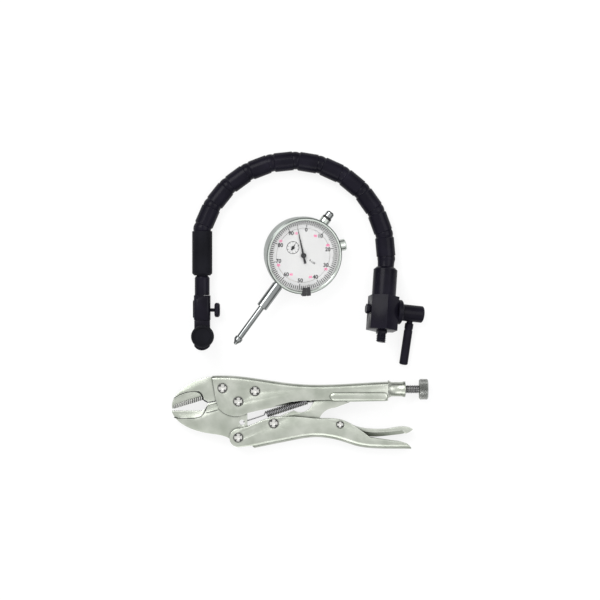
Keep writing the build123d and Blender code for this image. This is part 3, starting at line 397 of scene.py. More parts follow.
# ---------------------------------------------------------------- the frame and its places
@dataclass
class Rig:
    """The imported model: its nodes, its record and its joints' places.

    Attributes:
    """

    frame: dict

    def node(self, name: str) -> Piece:
        """Find a CAD node by name."""
        return self.frame["nodes"][name]

    def joint(self, name: str) -> tuple[Vector, Vector]:
        """Find a joint's place, in millimetres, and its axis.

        Args:
            name: The joint's name.

        Returns:
            The place and the unit axis.
        """
        found = next(j for j in self.frame["joints"] if j["name"] == name)
        return Vector(found.get("pos_m", (0, 0, 0))) / MM, Vector(found["axis"]).normalized()

    def body_of(self, node: str) -> str:
        """Find the body that a CAD node rides on."""
        return self.node(node)["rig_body"]

    def middle(self, node: str) -> Vector:
        """Find the middle of a CAD node's box, in millimetres."""
        low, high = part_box(node)
        return (low + high) / (2 * MM)

    def dress(self, finish: Finish, *nodes: str) -> None:
        """Give CAD nodes a finish.

        Args:
            finish: The finish.
            nodes: The nodes' names.
        """
        for name in nodes:
            slots = self.node(name).data.materials
            slots.clear()
            slots.append(finish.material())
            LOG.info("%s is dressed in %s", name, finish.name)


def axes(origin: Vector, z: Vector, x: Vector) -> Matrix:
    """Build a place from a point and two directions.

    Args:
        origin: The point, in millimetres.
        z: The direction of its Z axis.
        x: A direction near its X axis.

    Returns:
        The matrix that puts local millimetres there, in metres.
    """
    z = z.normalized()
    y = z.cross(x).normalized()
    turned = Matrix((y.cross(z), y, z)).transposed().to_4x4()
    return METRES @ Matrix.Translation(origin) @ turned


# ---------------------------------------------------------------- the modelling bench
class Bench:
    """Makes meshes as by hand, in local millimetres about the origin."""

    @staticmethod
    def clear() -> None:
        """Leave edit mode and deselect everything."""
        if bpy.context.object and bpy.context.object.mode != "OBJECT":
            bpy.ops.object.mode_set(mode="OBJECT")
        bpy.ops.object.select_all(action="DESELECT")

    @staticmethod
    def pick(piece: Piece) -> None:
        """Make a piece the only one selected, and active.

        Args:
            piece: The piece.
        """
        Bench.clear()
        piece.select_set(True)
        bpy.context.view_layer.objects.active = piece

    @staticmethod
    @contextmanager
    def editing(piece: Piece) -> Iterator[None]:
        """Edit a mesh with everything in it selected.

        Args:
            piece: The mesh.

        Yields:
            Nothing, in edit mode.
        """
        Bench.pick(piece)
        bpy.ops.object.mode_set(mode="EDIT")
        bpy.ops.mesh.select_all(action="SELECT")
        yield
        bpy.ops.object.mode_set(mode="OBJECT")

    @staticmethod
    def named(name: str) -> Piece:
        """Name the primitive just added, and put its place in its mesh.

        Args:
            name: The piece's name.

        Returns:
            The piece.
        """
        piece = bpy.context.object
        piece.name = piece.data.name = name
        bpy.ops.object.transform_apply(location=True, rotation=True, scale=True)
        return piece

    @staticmethod
    def profile(name: str, points: Outline, closed: bool) -> Piece:
        """Draw a line of edges in the XZ plane by extruding a single vertex.

        Args:
            name: The piece's name.
            points: (radius, height) of each point.
            closed: Whether the last point joins the first.

        Returns:
            The line, as a mesh with no faces.
        """
        Bench.clear()
        bpy.ops.mesh.primitive_plane_add(size=1.0, location=(points[0][0], 0.0, points[0][1]))
        piece = Bench.named(name)
        with Bench.editing(piece):
            bpy.ops.mesh.merge(type="CENTER")
            for (r, h), (next_r, next_h) in zip(points, points[1:]):
                bpy.ops.mesh.extrude_region_move(
                    TRANSFORM_OT_translate={"value": (next_r - r, 0.0, next_h - h)})
        if closed:
            piece.data.vertices[0].select = True
            piece.data.vertices[len(points) - 1].select = True
            bpy.ops.object.mode_set(mode="EDIT")
            bpy.ops.mesh.edge_face_add()
            bpy.ops.object.mode_set(mode="OBJECT")
        return piece

    @staticmethod
    def screwed(piece: Piece, sides: int, rise: float = 0.0,
                turns: int = 1) -> Piece:
        """Sweep a profile about the Z axis, straight round or as a helix.

        Args:
            piece: The profile.
            sides: Steps in one turn.
            rise: Height gained in one turn.
            turns: How many turns.

        Returns:
            The same piece, now a surface.
        """
        Bench.pick(piece)
        sweep = piece.modifiers.new("sweep", "SCREW")
        sweep.axis = "Z"
        sweep.steps = sweep.render_steps = sides
        sweep.screw_offset = rise
        sweep.iterations = turns
        sweep.use_merge_vertices = rise == 0.0
        sweep.merge_threshold = MERGE
        bpy.ops.object.modifier_apply(modifier="sweep")
        Bench.tidy(piece, MERGE)
        return piece

    @staticmethod
    def turned(name: str, outline: Outline, sides: int = 64) -> Piece:
        """Turn a profile into a solid: open outlines start and end on the axis.

        Args:
            name: The piece's name.
            outline: (radius, height) of each point.
            sides: Steps round the axis.

        Returns:
            The turned piece.
        """
        on_axis = outline[0][0] == 0.0 and outline[-1][0] == 0.0
        return Bench.screwed(Bench.profile(name, outline, closed=not on_axis), sides)

    @staticmethod
    def tidy(piece: Piece, merge: float) -> None:
        """Merge doubles, close small holes and turn every face outwards.

        Args:
            piece: The mesh.
            merge: How near two points are one.
        """
        with Bench.editing(piece):
            bpy.ops.mesh.remove_doubles(threshold=merge)
            bpy.ops.mesh.fill_holes(sides=80)
            bpy.ops.mesh.normals_make_consistent(inside=False)

    @staticmethod
    def prism(name: str, outline: Outline, low: float, high: float) -> Piece:
        """Raise an outline in the XY plane into a solid.

        Args:
            name: The piece's name.
            outline: (x, y) of each corner.
            low: Its lowest height.
            high: Its highest height.

        Returns:
            The solid.
        """
        piece = Bench.profile(name, outline, closed=True)
        piece.data.transform(Matrix.Rotation(math.radians(-90.0), 4, "X"))
        piece.data.transform(Matrix.Translation((0, 0, low)))
        with Bench.editing(piece):
            bpy.ops.mesh.edge_face_add()
            bpy.ops.mesh.extrude_region_move(TRANSFORM_OT_translate={"value": (0, 0, high - low)})
        Bench.tidy(piece, MERGE / 2)
        return piece

    @staticmethod
    def knurled(name: str, radius: float, low: float, high: float, count: int, rows: int,
                depth: float) -> Piece:
        """Make a band with a raised pattern of points, closed at both rims.

        Args:
            name: The piece's name.
            radius: The radius of the points' feet.
            low: The band's lower rim.
            high: Its upper rim.
            count: Points round the band.
            rows: Rows of points.
            depth: How far each point stands out.

        Returns:
            The band.
        """
        Bench.clear()
        bpy.ops.mesh.primitive_circle_add(vertices=count, radius=radius, location=(0, 0, low))
        piece = Bench.named(name)
        rise = (high - low) / rows
        with Bench.editing(piece):
            for row in range(rows):
                bpy.ops.mesh.extrude_region_move(TRANSFORM_OT_translate={"value": (0, 0, rise)})
                bpy.ops.transform.rotate(value=math.pi / count, orient_axis="Z",
                                         center_override=(0, 0, low + rise * (row + 1)))
            bpy.ops.mesh.select_all(action="SELECT")
            bpy.ops.mesh.poke(offset=-depth)
        Bench.tidy(piece, MERGE / 2)
        return piece

    @staticmethod
    def wire(name: str, points: Iterable[Sequence[float]], radius: float,
             sides: int = 3) -> Piece:
        """Bend a wire along points.

        Args:
            name: The piece's name.
            points: The wire's middle line.
            radius: The wire's radius.
            sides: How finely its section is rounded.

        Returns:
            The wire as a mesh.
        """
        Bench.clear()
        curve = bpy.data.curves.new(name, "CURVE")
        curve.dimensions = "3D"
        curve.bevel_depth = radius
        curve.bevel_resolution = sides
        curve.use_fill_caps = True
        line = curve.splines.new("POLY")
        places = [tuple(point) for point in points]
        line.points.add(len(places) - 1)
        for point, place in zip(line.points, places):
            point.co = (*place, 1.0)
        piece = bpy.data.objects.new(name, curve)
        bpy.context.scene.collection.objects.link(piece)
        Bench.pick(piece)
        bpy.ops.object.convert(target="MESH")
        return bpy.context.object

    @staticmethod
    def text(name: str, words: str, size: float, place: Point, turn: float,
             height: float) -> Piece:
        """Print a few characters as a flat mesh, centred on a place.

        Args:
            name: The piece's name.
            words: What it says.
            size: The height of a line.
            place: Its middle, in the XY plane.
            turn: Its turn about Z, in degrees.
            height: Its height along Z.

        Returns:
            The text as a mesh.
        """
        Bench.clear()
        bpy.ops.object.text_add(location=(0, 0, 0))
        piece = bpy.context.object
        piece.name = name
        piece.data.body = words
        piece.data.size = size
        piece.data.align_x = piece.data.align_y = "CENTER"
        piece.data.resolution_u = 3
        piece.data.offset = size * 0.03
        bpy.ops.object.convert(target="MESH")
        piece = bpy.context.object
        piece.data.transform(Matrix.Translation((*place, height))
                             @ Matrix.Rotation(math.radians(turn), 4, "Z"))
        return piece

    @staticmethod
    def joined(name: str, pieces: Sequence[Piece]) -> Piece:
        """Join several meshes into one piece.

        Args:
            name: The new piece's name.
            pieces: The meshes.

        Returns:
            The piece.
        """
        Bench.pick(pieces[0])
        for piece in pieces:
            piece.select_set(True)
        if len(pieces) > 1:
            bpy.ops.object.join()
        pieces[0].name = pieces[0].data.name = name
        return pieces[0]

    @staticmethod
    def copied(piece: Piece, name: str, move: Matrix) -> Piece:
        """Copy a piece with a mesh of its own, moved in that mesh.

        Args:
            piece: The piece.
            name: The copy's name.
            move: Where the copy goes.

        Returns:
            The copy.
        """
        Bench.pick(piece)
        bpy.ops.object.duplicate(linked=False)
        copy = bpy.context.object
        copy.name = copy.data.name = name
        copy.data.transform(move)
        return copy

    @staticmethod
    def smooth(piece: Piece, angle: float = 35.0) -> None:
        """Shade a piece smooth, except over edges sharper than an angle in degrees."""
        Bench.pick(piece)
        bpy.ops.object.shade_smooth_by_angle(angle=math.radians(angle))

    @staticmethod
    def bevelled(piece: Piece, width: float, angle: float = 38.0,
                 steps: int = 2) -> Piece:
        """Round the edges that are sharper than an angle.

        Args:
            piece: The mesh.
            width: The bevel's width, in the mesh's own unit.
            angle: The angle, in degrees.
            steps: Steps across the bevel.

        Returns:
            The same piece.
        """
        Bench.pick(piece)
        edge = piece.modifiers.new("edge", "BEVEL")
        edge.width = width
        edge.segments = steps
        edge.limit_method = "ANGLE"
        edge.angle_limit = math.radians(angle)
        bpy.ops.object.modifier_apply(modifier="edge")
        return piece

    @staticmethod
    def finished(piece: Piece, finish: Finish, body: str, place: Matrix | None = None,
                 replaces: Sequence[str] = (), angle: float = 35.0) -> Piece:
        """Put a piece in its place, give it its finish and let it ride on its body.

        Args:
            piece: The piece, in local millimetres.
            finish: Its finish.
            body: The body that it rides on.
            place: Where it goes, or None where its mesh is already in the frame.
            replaces: The CAD nodes that it stands for.
            angle: Edges sharper than this stay sharp.

        Returns:
            The piece.
        """
        if place is not None:
            piece.data.transform(place)
        piece.data.materials.clear()
        piece.data.materials.append(finish.material())
        Bench.smooth(piece, angle)
        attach(piece, body)
        if replaces:
            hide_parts(*replaces)
        LOG.info("%s rides on %s, %d faces", piece.name, body, len(piece.data.polygons))
        return piece

    @staticmethod
    def cut(piece: Piece, tool: Piece) -> None:
        """Cut a solid away from a piece, and drop the solid.

        Args:
            piece: The piece.
            tool: The solid, in the same unit.
        """
        Bench.pick(piece)
        bite = piece.modifiers.new("bite", "BOOLEAN")
        bite.operation = "DIFFERENCE"
        bite.solver = "EXACT"
        bite.object = tool
        bpy.ops.object.modifier_apply(modifier="bite")
        bpy.data.objects.remove(tool, do_unlink=True)

    @staticmethod
    def softened(rig: Rig, node: str, width: float,
                 tool: Piece | None = None) -> Piece:
        """Copy a CAD node and round its edges, as tumbling does.

        Args:
            rig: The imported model.
            node: The node's name.
            width: The bevel's width, in millimetres.
            tool: A solid to cut away first, in the frame's millimetres.

        Returns:
            The copy, in the frame and in metres.
        """
        Bench.clear()
        mesh = rig.node(node).data.copy()
        piece = bpy.data.objects.new(node + "_finished", mesh)
        mesh.name = piece.name
        bpy.context.scene.collection.objects.link(piece)
        Bench.pick(piece)
        if mesh.has_custom_normals:
            bpy.ops.mesh.customdata_custom_splitnormals_clear()
        mesh.transform(Matrix.Scale(1 / MM, 4))
        with Bench.editing(piece):
            bpy.ops.mesh.remove_doubles(threshold=2 * MERGE)
            bpy.ops.mesh.dissolve_limited(angle_limit=math.radians(0.6))
        if tool:
            Bench.cut(piece, tool)
        Bench.bevelled(piece, width)
        piece.data.transform(METRES)
        return piece


# ---------------------------------------------------------------- locking pliers
@dataclass
class LockingPliers:
    """Curved-jaw locking pliers: pressed handles, forged jaws, rivets, spring and screw."""

    rig: Rig
    edge: float = 0.3
    rivet_r: float = 3.5
    small_rivet_r: float = 2.7
    rivet_rise: float = 0.9
    # Where the dark discs of painted shade for the punch dents lie, and how large they are.
    mark_place: float = 0.68
    mark_sizes: Point = (0.17, 0.24)
    punch_turn: float = 45.0
    bulge_ends: Point = (21.0, 62.6)
    bulge_y: float = -68.9
    bulge_width: float = 6.2
    bulge_rise: float = 1.2
    bulge_rise_below: float = 0.8
    sheet: float = 2.0
    step_r: float = 0.26
    margin_end: float = -90.0
    margin_floor: float = 1.5
    margin_top: float = 12.0
    # The dark sheet of painted shade on the far cheek: its overlap, gap and half thickness.
    shade_sheet_overlap: float = 1.5
    shade_sheet_gap: float = 0.15
    shade_sheet_half: float = 0.1
    step_inset: float = 0.08
    near_edge: tuple[Point, ...] = (
        (-18.0, -75.7), (-15.0, -74.6), (-7.2, -72.7), (0.5, -71.8), (8.3, -71.4), (21.3, -71.1),
        (33.5, -71.2))
    far_edge: tuple[Point, ...] = (
        (-15.0, -75.2), (-7.2, -74.0), (0.5, -73.7), (8.3, -73.5), (21.3, -73.2), (33.5, -73.0))
    upper_steps: tuple[tuple[Point, ...], ...] = (
        ((-89.7, -69.9), (-86.2, -67.7), (-80.8, -65.8), (-75.3, -65.2), (-72.9, -65.8),
         (-71.1, -66.7), (-69.8, -68.9), (-68.5, -71.8), (-66.0, -73.1), (-59.9, -72.0)),)
    lower_steps: tuple[tuple[Point, ...], ...] = (
        ((-89.9, -83.7), (-86.9, -84.5), (-80.8, -84.5), (-74.6, -84.3), (-70.7, -83.3),
         (-68.8, -81.2), (-67.7, -78.5), (-66.4, -76.1), (-64.9, -74.9), (-59.5, -73.7)),
        ((-67.0, -80.5), (-63.7, -79.8), (-58.9, -78.5)))
    half_width: float = 6.6
    jaw_rivets: tuple[Point, ...] = ((-55.3, -62.8), (-32.1, -64.9))
    wire_r: float = 0.45
    coil_r: float = 2.3
    spring_hole: Point = (-41.4, -87.5)
    coil_ends: tuple[Point, ...] = ((-23.8, -81.7), (5.0, -72.2))
    spring_anchor: Point = (7.6, -71.4)
    coil_turns: int = 24
    hook_r: float = 1.1
    hook_reach: float = 2.4
    eye_r: float = 1.5
    thread_r: float = 3.0
    thread_pitch: float = 1.25
    thread_depth: float = 0.55
    head_r: float = 7.5
    head_length: float = 6.4
    socket_r: float = 3.55
    socket_depth: float = 5.0
    tooth_count: int = 15
    grip_points: tuple[Point, ...] = ((-69.6, -71.4), (-80.0, -74.6), (-90.4, -77.7))
    band_height: float = 3.0
    jaw_half: float = 4.6
    tooth_rise: float = 0.25

    def build(self) -> None:
        """Make and dress every piece of the pliers."""
        self.mid_z = self.rig.joint("jaw_pivot")[0].z
        for node in ("upper_jaw", "lower_jaw", "lower_handle", "toggle_link", "release_lever",
                     "upper_handle"):
            tool = self.margin() if node == "upper_handle" else None
            piece = Bench.softened(self.rig, node, self.edge, tool)
            Bench.finished(piece, NICKEL, self.rig.body_of(node), replaces=[node])
        self.inside()
        self.outlines()
        self.rivets()
        self.swage()
        self.teeth()
        self.spring()
        self.screw()

    def rivet(self, name: str, x: float, y: float, radius: float) -> list[Piece]:
        """Make both punched heads of a rivet, with painted shade in their groove and punch dents.

        Args:
            name: The rivet's name.
            x: Its place along the pliers.
            y: Its place across them.
            radius: Its heads' radius.

        Returns:
            The heads and their painted shade, as two meshes in the frame's millimetres.
        """
        rise = self.rivet_rise
        outer = radius * 0.95
        inner = radius * 0.85
        head = Bench.turned(name, [
            (0.0, -self.half_width), (radius, -self.half_width + 0.02), (radius, rise * 0.35),
            (radius * 0.98, rise * 0.7), (outer + 0.05, rise * 0.74), (outer, rise * 0.45),
            (inner, rise * 0.45), (inner * 0.95, rise * 0.92), (radius * 0.34, rise),
            (radius * 0.16, rise * 0.7), (0.0, rise * 0.62)], 40)
        # A dark ring of painted shade at the foot of the head's groove.
        marks = [Bench.turned(f"{name}_groove", [
            (inner - 0.05, rise * 0.4), (outer + 0.02, rise * 0.4), (outer + 0.02, rise * 0.55),
            (inner - 0.05, rise * 0.55)], 40)]
        # Dark discs of painted shade where the punch dents lie; the dents themselves are not cut.
        for quarter in range(4):
            angle = math.radians(self.punch_turn + 90.0 * quarter)
            size = radius * self.mark_sizes[quarter % 2]
            mark = Bench.turned(f"{name}_mark_{quarter}", [
                (0.0, rise * 0.5), (size, rise * 0.5), (size, rise * 0.97), (0.0, rise * 0.99)], 14)
            away = radius * self.mark_place
            mark.data.transform(Matrix.Translation((math.cos(angle) * away,
                                                    math.sin(angle) * away, 0.0)))
            marks.append(mark)
        made = []
        for part, pieces in (("heads", [head]), ("marks", marks)):
            upper = Bench.joined(f"{name}_{part}", pieces)
            lower = Bench.copied(upper, f"{name}_{part}_below",
                                 Matrix.Rotation(math.pi, 4, "X")
                                 @ Matrix.Translation((0, 0, self.half_width)))
            upper.data.transform(Matrix.Translation((0, 0, self.half_width)))
            whole = Bench.joined(f"{name}_{part}", [upper, lower])
            whole.data.transform(Matrix.Translation((x, y, self.mid_z)))
            made.append(whole)
        return made

    def rivets(self) -> None:
        """Make the six rivets as three groups, one for each CAD node."""
        pivot, fold, toggle, lever = (self.rig.joint(name)[0] for name in (
            "jaw_pivot", "handle_fold", "toggle_fold", "release_press"))
        groups = {
            "upper_jaw_rivets": [(x, y, self.rivet_r) for x, y in self.jaw_rivets],
            "jaw_pivot_rivet": [(pivot.x, pivot.y, self.rivet_r)],
            "lower_handle_rivets": [(fold.x, fold.y, self.rivet_r), (toggle.x, toggle.y, self.rivet_r),
                                    (lever.x, lever.y, self.small_rivet_r)],
        }
        for node, places in groups.items():
            heads, marks = [], []
            for number, (x, y, radius) in enumerate(places):
                head, mark = self.rivet(f"{node}_{number}", x, y, radius)
                heads.append(head)
                marks.append(mark)
            body = self.rig.body_of(node)
            scale = METRES
            Bench.finished(Bench.joined(node + "_punched", heads), RIVET, body, scale, [node])
            Bench.finished(Bench.joined(node + "_marks", marks), RIVET_DENT_SHADE, body, scale)

    def margin(self) -> Piece:
        """Make the solid that shortens the near cheek of the upper handle at its lower edge.

        Returns:
            The solid, in the frame's millimetres.
        """
        outline = [*self.near_edge, (self.near_edge[-1][0], self.margin_end),
                   (self.near_edge[0][0], self.margin_end)]
        return Bench.prism("cheek_margin", outline, self.mid_z + self.margin_floor,
                           self.mid_z + self.margin_top)

    def inside(self) -> None:
        """Lay a thin dark sheet of painted shade on the far cheek of the upper handle, which lies in
        shade past the near one's edge.
        """
        outline = [(x, y + self.shade_sheet_overlap) for x, y in self.near_edge]
        outline += [(x, y + self.shade_sheet_gap) for x, y in reversed(self.far_edge)]
        floor = self.mid_z - self.half_width + self.sheet
        shade_sheet = Bench.prism("upper_handle_painted_shade", outline, floor - self.shade_sheet_half,
                            floor + self.shade_sheet_half)
        Bench.finished(shade_sheet, NICKEL_PAINTED_SHADE, "pliers_handle", METRES)

    def outlines(self) -> None:
        """Draw dark lines of painted shade along the steps round the grips and the slot of both jaws, on
        both faces.
        """
        for node, lines in (("upper_jaw", self.upper_steps), ("lower_jaw", self.lower_steps)):
            low, high = (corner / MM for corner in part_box(node))
            steps = []
            for number, line in enumerate(lines):
                for height in (high.z - self.step_inset, low.z + self.step_inset):
                    steps.append(Bench.wire(f"{node}_step_{number}",
                                            [(x, y, height) for x, y in line], self.step_r, 2))
            Bench.finished(Bench.joined(node + "_steps", steps), NICKEL_PAINTED_SHADE,
                           self.rig.body_of(node), METRES)

    def swage(self) -> None:
        """Raise the long bulge that the press leaves on both cheeks of the upper handle."""
        start, end = self.bulge_ends
        half = self.bulge_width / 2
        outline = [(0.0, 0.0)]
        for step in range(1, 9):
            angle = math.radians(90.0 * step / 8)
            outline.append((half * math.sin(angle), half * (1 - math.cos(angle)) * 1.3))
        length = end - start
        for step in range(8, -1, -1):
            angle = math.radians(90.0 * step / 8)
            outline.append((half * math.sin(angle) if step else 0.0,
                            length - half * (1 - math.cos(angle)) * 0.7))
        sides = []
        for name, rise, face in (("above", self.bulge_rise, self.half_width),
                                 ("below", self.bulge_rise_below, -self.half_width)):
            bulge = Bench.turned(f"swage_{name}", outline, 40)
            bulge.data.transform(Matrix.Translation((start, self.bulge_y, self.mid_z + face))
                                 @ Matrix.Diagonal((1, 1, rise / half, 1))
                                 @ Matrix.Rotation(math.radians(90.0), 4, "Y"))
            sides.append(bulge)
        Bench.finished(Bench.joined("upper_handle_swage", sides), NICKEL_RAISED, "pliers_handle",
                       METRES, angle=60.0)

    def teeth(self) -> None:
        """Cut the toothed band of the upper jaw's grip, seen on both its faces, with painted shade in
        the grooves between the teeth.
        """
        (x0, y0), (x1, y1), (x2, y2) = self.grip_points
        ribs, feet = [], []
        for step in range(self.tooth_count):
            share = (step + 0.5) / self.tooth_count
            x = (1 - share) ** 2 * x0 + 2 * share * (1 - share) * x1 + share ** 2 * x2
            y = (1 - share) ** 2 * y0 + 2 * share * (1 - share) * y1 + share ** 2 * y2
            width = abs(x2 - x0) / self.tooth_count
            height = self.band_height * (1.0 - 0.15 * abs(2 * share - 1))
            top = self.jaw_half + self.tooth_rise
            rib = Bench.prism(f"rib_{step}", [
                (x - width * 0.42, y), (x - width * 0.1, y - 0.2), (x + width * 0.16, y),
                (x + width * 0.34, y + height), (x + width * 0.04, y + height + 0.25),
                (x - width * 0.24, y + height)], -top, top)
            ribs.append(rib)
            # A dark block behind each tooth: painted shade in its groove.
            foot = Bench.prism(f"foot_{step}", [
                (x - width * 0.55, y + 0.2), (x + width * 0.55, y + 0.2),
                (x + width * 0.7, y + height - 0.1), (x - width * 0.4, y + height - 0.1)],
                -self.jaw_half - 0.03, self.jaw_half + 0.03)
            feet.append(foot)
        place = METRES @ Matrix.Translation((0, 0, self.mid_z))
        band = Bench.joined("upper_jaw_teeth", ribs)
        Bench.bevelled(band, 0.1)
        Bench.finished(band, TEETH, "pliers_handle", place)
        Bench.finished(Bench.joined("upper_jaw_tooth_groove_shade", feet), TEETH_GROOVE_SHADE, "pliers_handle",
                       place)

    def spring(self) -> None:
        """Wind the tension spring from its hole in the lower jaw to its anchor pin."""
        start, end = (Vector((*point, 0.0)) for point in self.coil_ends)
        along = (end - start).normalized()
        across = Vector((-along.y, along.x, 0.0))
        length = (end - start).length
        hole = Vector((*self.spring_hole, 0.0))
        anchor = Vector((*self.spring_anchor, 0.0))
        points = []
        for step in range(9):
            angle = math.radians(200.0 - 25.0 * step)
            points.append(hole + along * (self.hook_reach + self.hook_r * math.cos(angle))
                          + UPWARD * (self.hook_r * math.sin(angle)))
        points.append(start - along * 2.0)
        steps = 16
        for step in range(self.coil_turns * steps + 1):
            share = step / (self.coil_turns * steps)
            angle = 2 * math.pi * step / steps
            points.append(start + along * (length * share)
                          + across * (self.coil_r - self.wire_r / 2) * math.cos(angle)
                          + UPWARD * (self.coil_r - self.wire_r / 2) * math.sin(angle))
        for step in range(11):
            angle = math.radians(190.0 - 28.0 * step)
            points.append(anchor + along * (self.eye_r * math.cos(angle))
                          + across * (self.eye_r * math.sin(angle)))
        wire = Bench.wire("tension_spring_wound", points, self.wire_r)
        wire.data.transform(METRES @ Matrix.Translation((0, 0, self.mid_z)))
        wire.data.materials.append(SPRING.material())
        Bench.smooth(wire, 60.0)
        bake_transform(wire)
        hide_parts("tension_spring")
        LOG.info("%s bends with both its ends, %d faces", wire.name, len(wire.data.polygons))

    def screw(self) -> None:
        """Thread the adjusting screw and knurl its head."""
        low, high = (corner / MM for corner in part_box("adjusting_screw"))
        middle = (low + high) / 2
        length = high.x - low.x
        shank = length - self.head_length
        turns = int(shank / self.thread_pitch)
        root = self.thread_r - self.thread_depth
        thread = Bench.screwed(Bench.profile("screw_thread", [
            (root, 0.0), (root + 0.05, 0.12), (self.thread_r, 0.55), (self.thread_r, 0.75),
            (root + 0.05, 1.13), (root, self.thread_pitch)], closed=False), 36, self.thread_pitch, turns)
        core = Bench.turned("screw_core", [
            (0.0, 0.0), (root - 0.8, 0.0), (root + 0.02, 0.8), (root + 0.02, shank + 0.5),
            (0.0, shank + 0.5)], 36)
        place = axes(Vector((low.x, middle.y, middle.z)), Vector((1, 0, 0)), UPWARD)
        body = self.rig.body_of("adjusting_screw")
        rod = Bench.joined("adjusting_screw_threaded", [thread, core])
        Bench.finished(rod, SCREW, body, place, ["adjusting_screw"], angle=50.0)
        foot = self.head_r - 0.45
        head = Bench.turned("screw_head", [
            (0.0, shank), (foot - 0.5, shank), (foot, shank + 0.5), (foot, length - 0.5),
            (foot - 0.5, length), (self.socket_r + 0.4, length), (self.socket_r, length - 0.4),
            (self.socket_r, length - self.socket_depth), (0.0, length - self.socket_depth)], 72)
        band = Bench.knurled("screw_knurl", foot + 0.02, shank + 0.5, length - 0.5, 42, 6, 0.42)
        knob = Bench.joined("adjusting_screw_head", [head, band])
        Bench.finished(knob, SCREW_HEAD, body, place, angle=25.0)


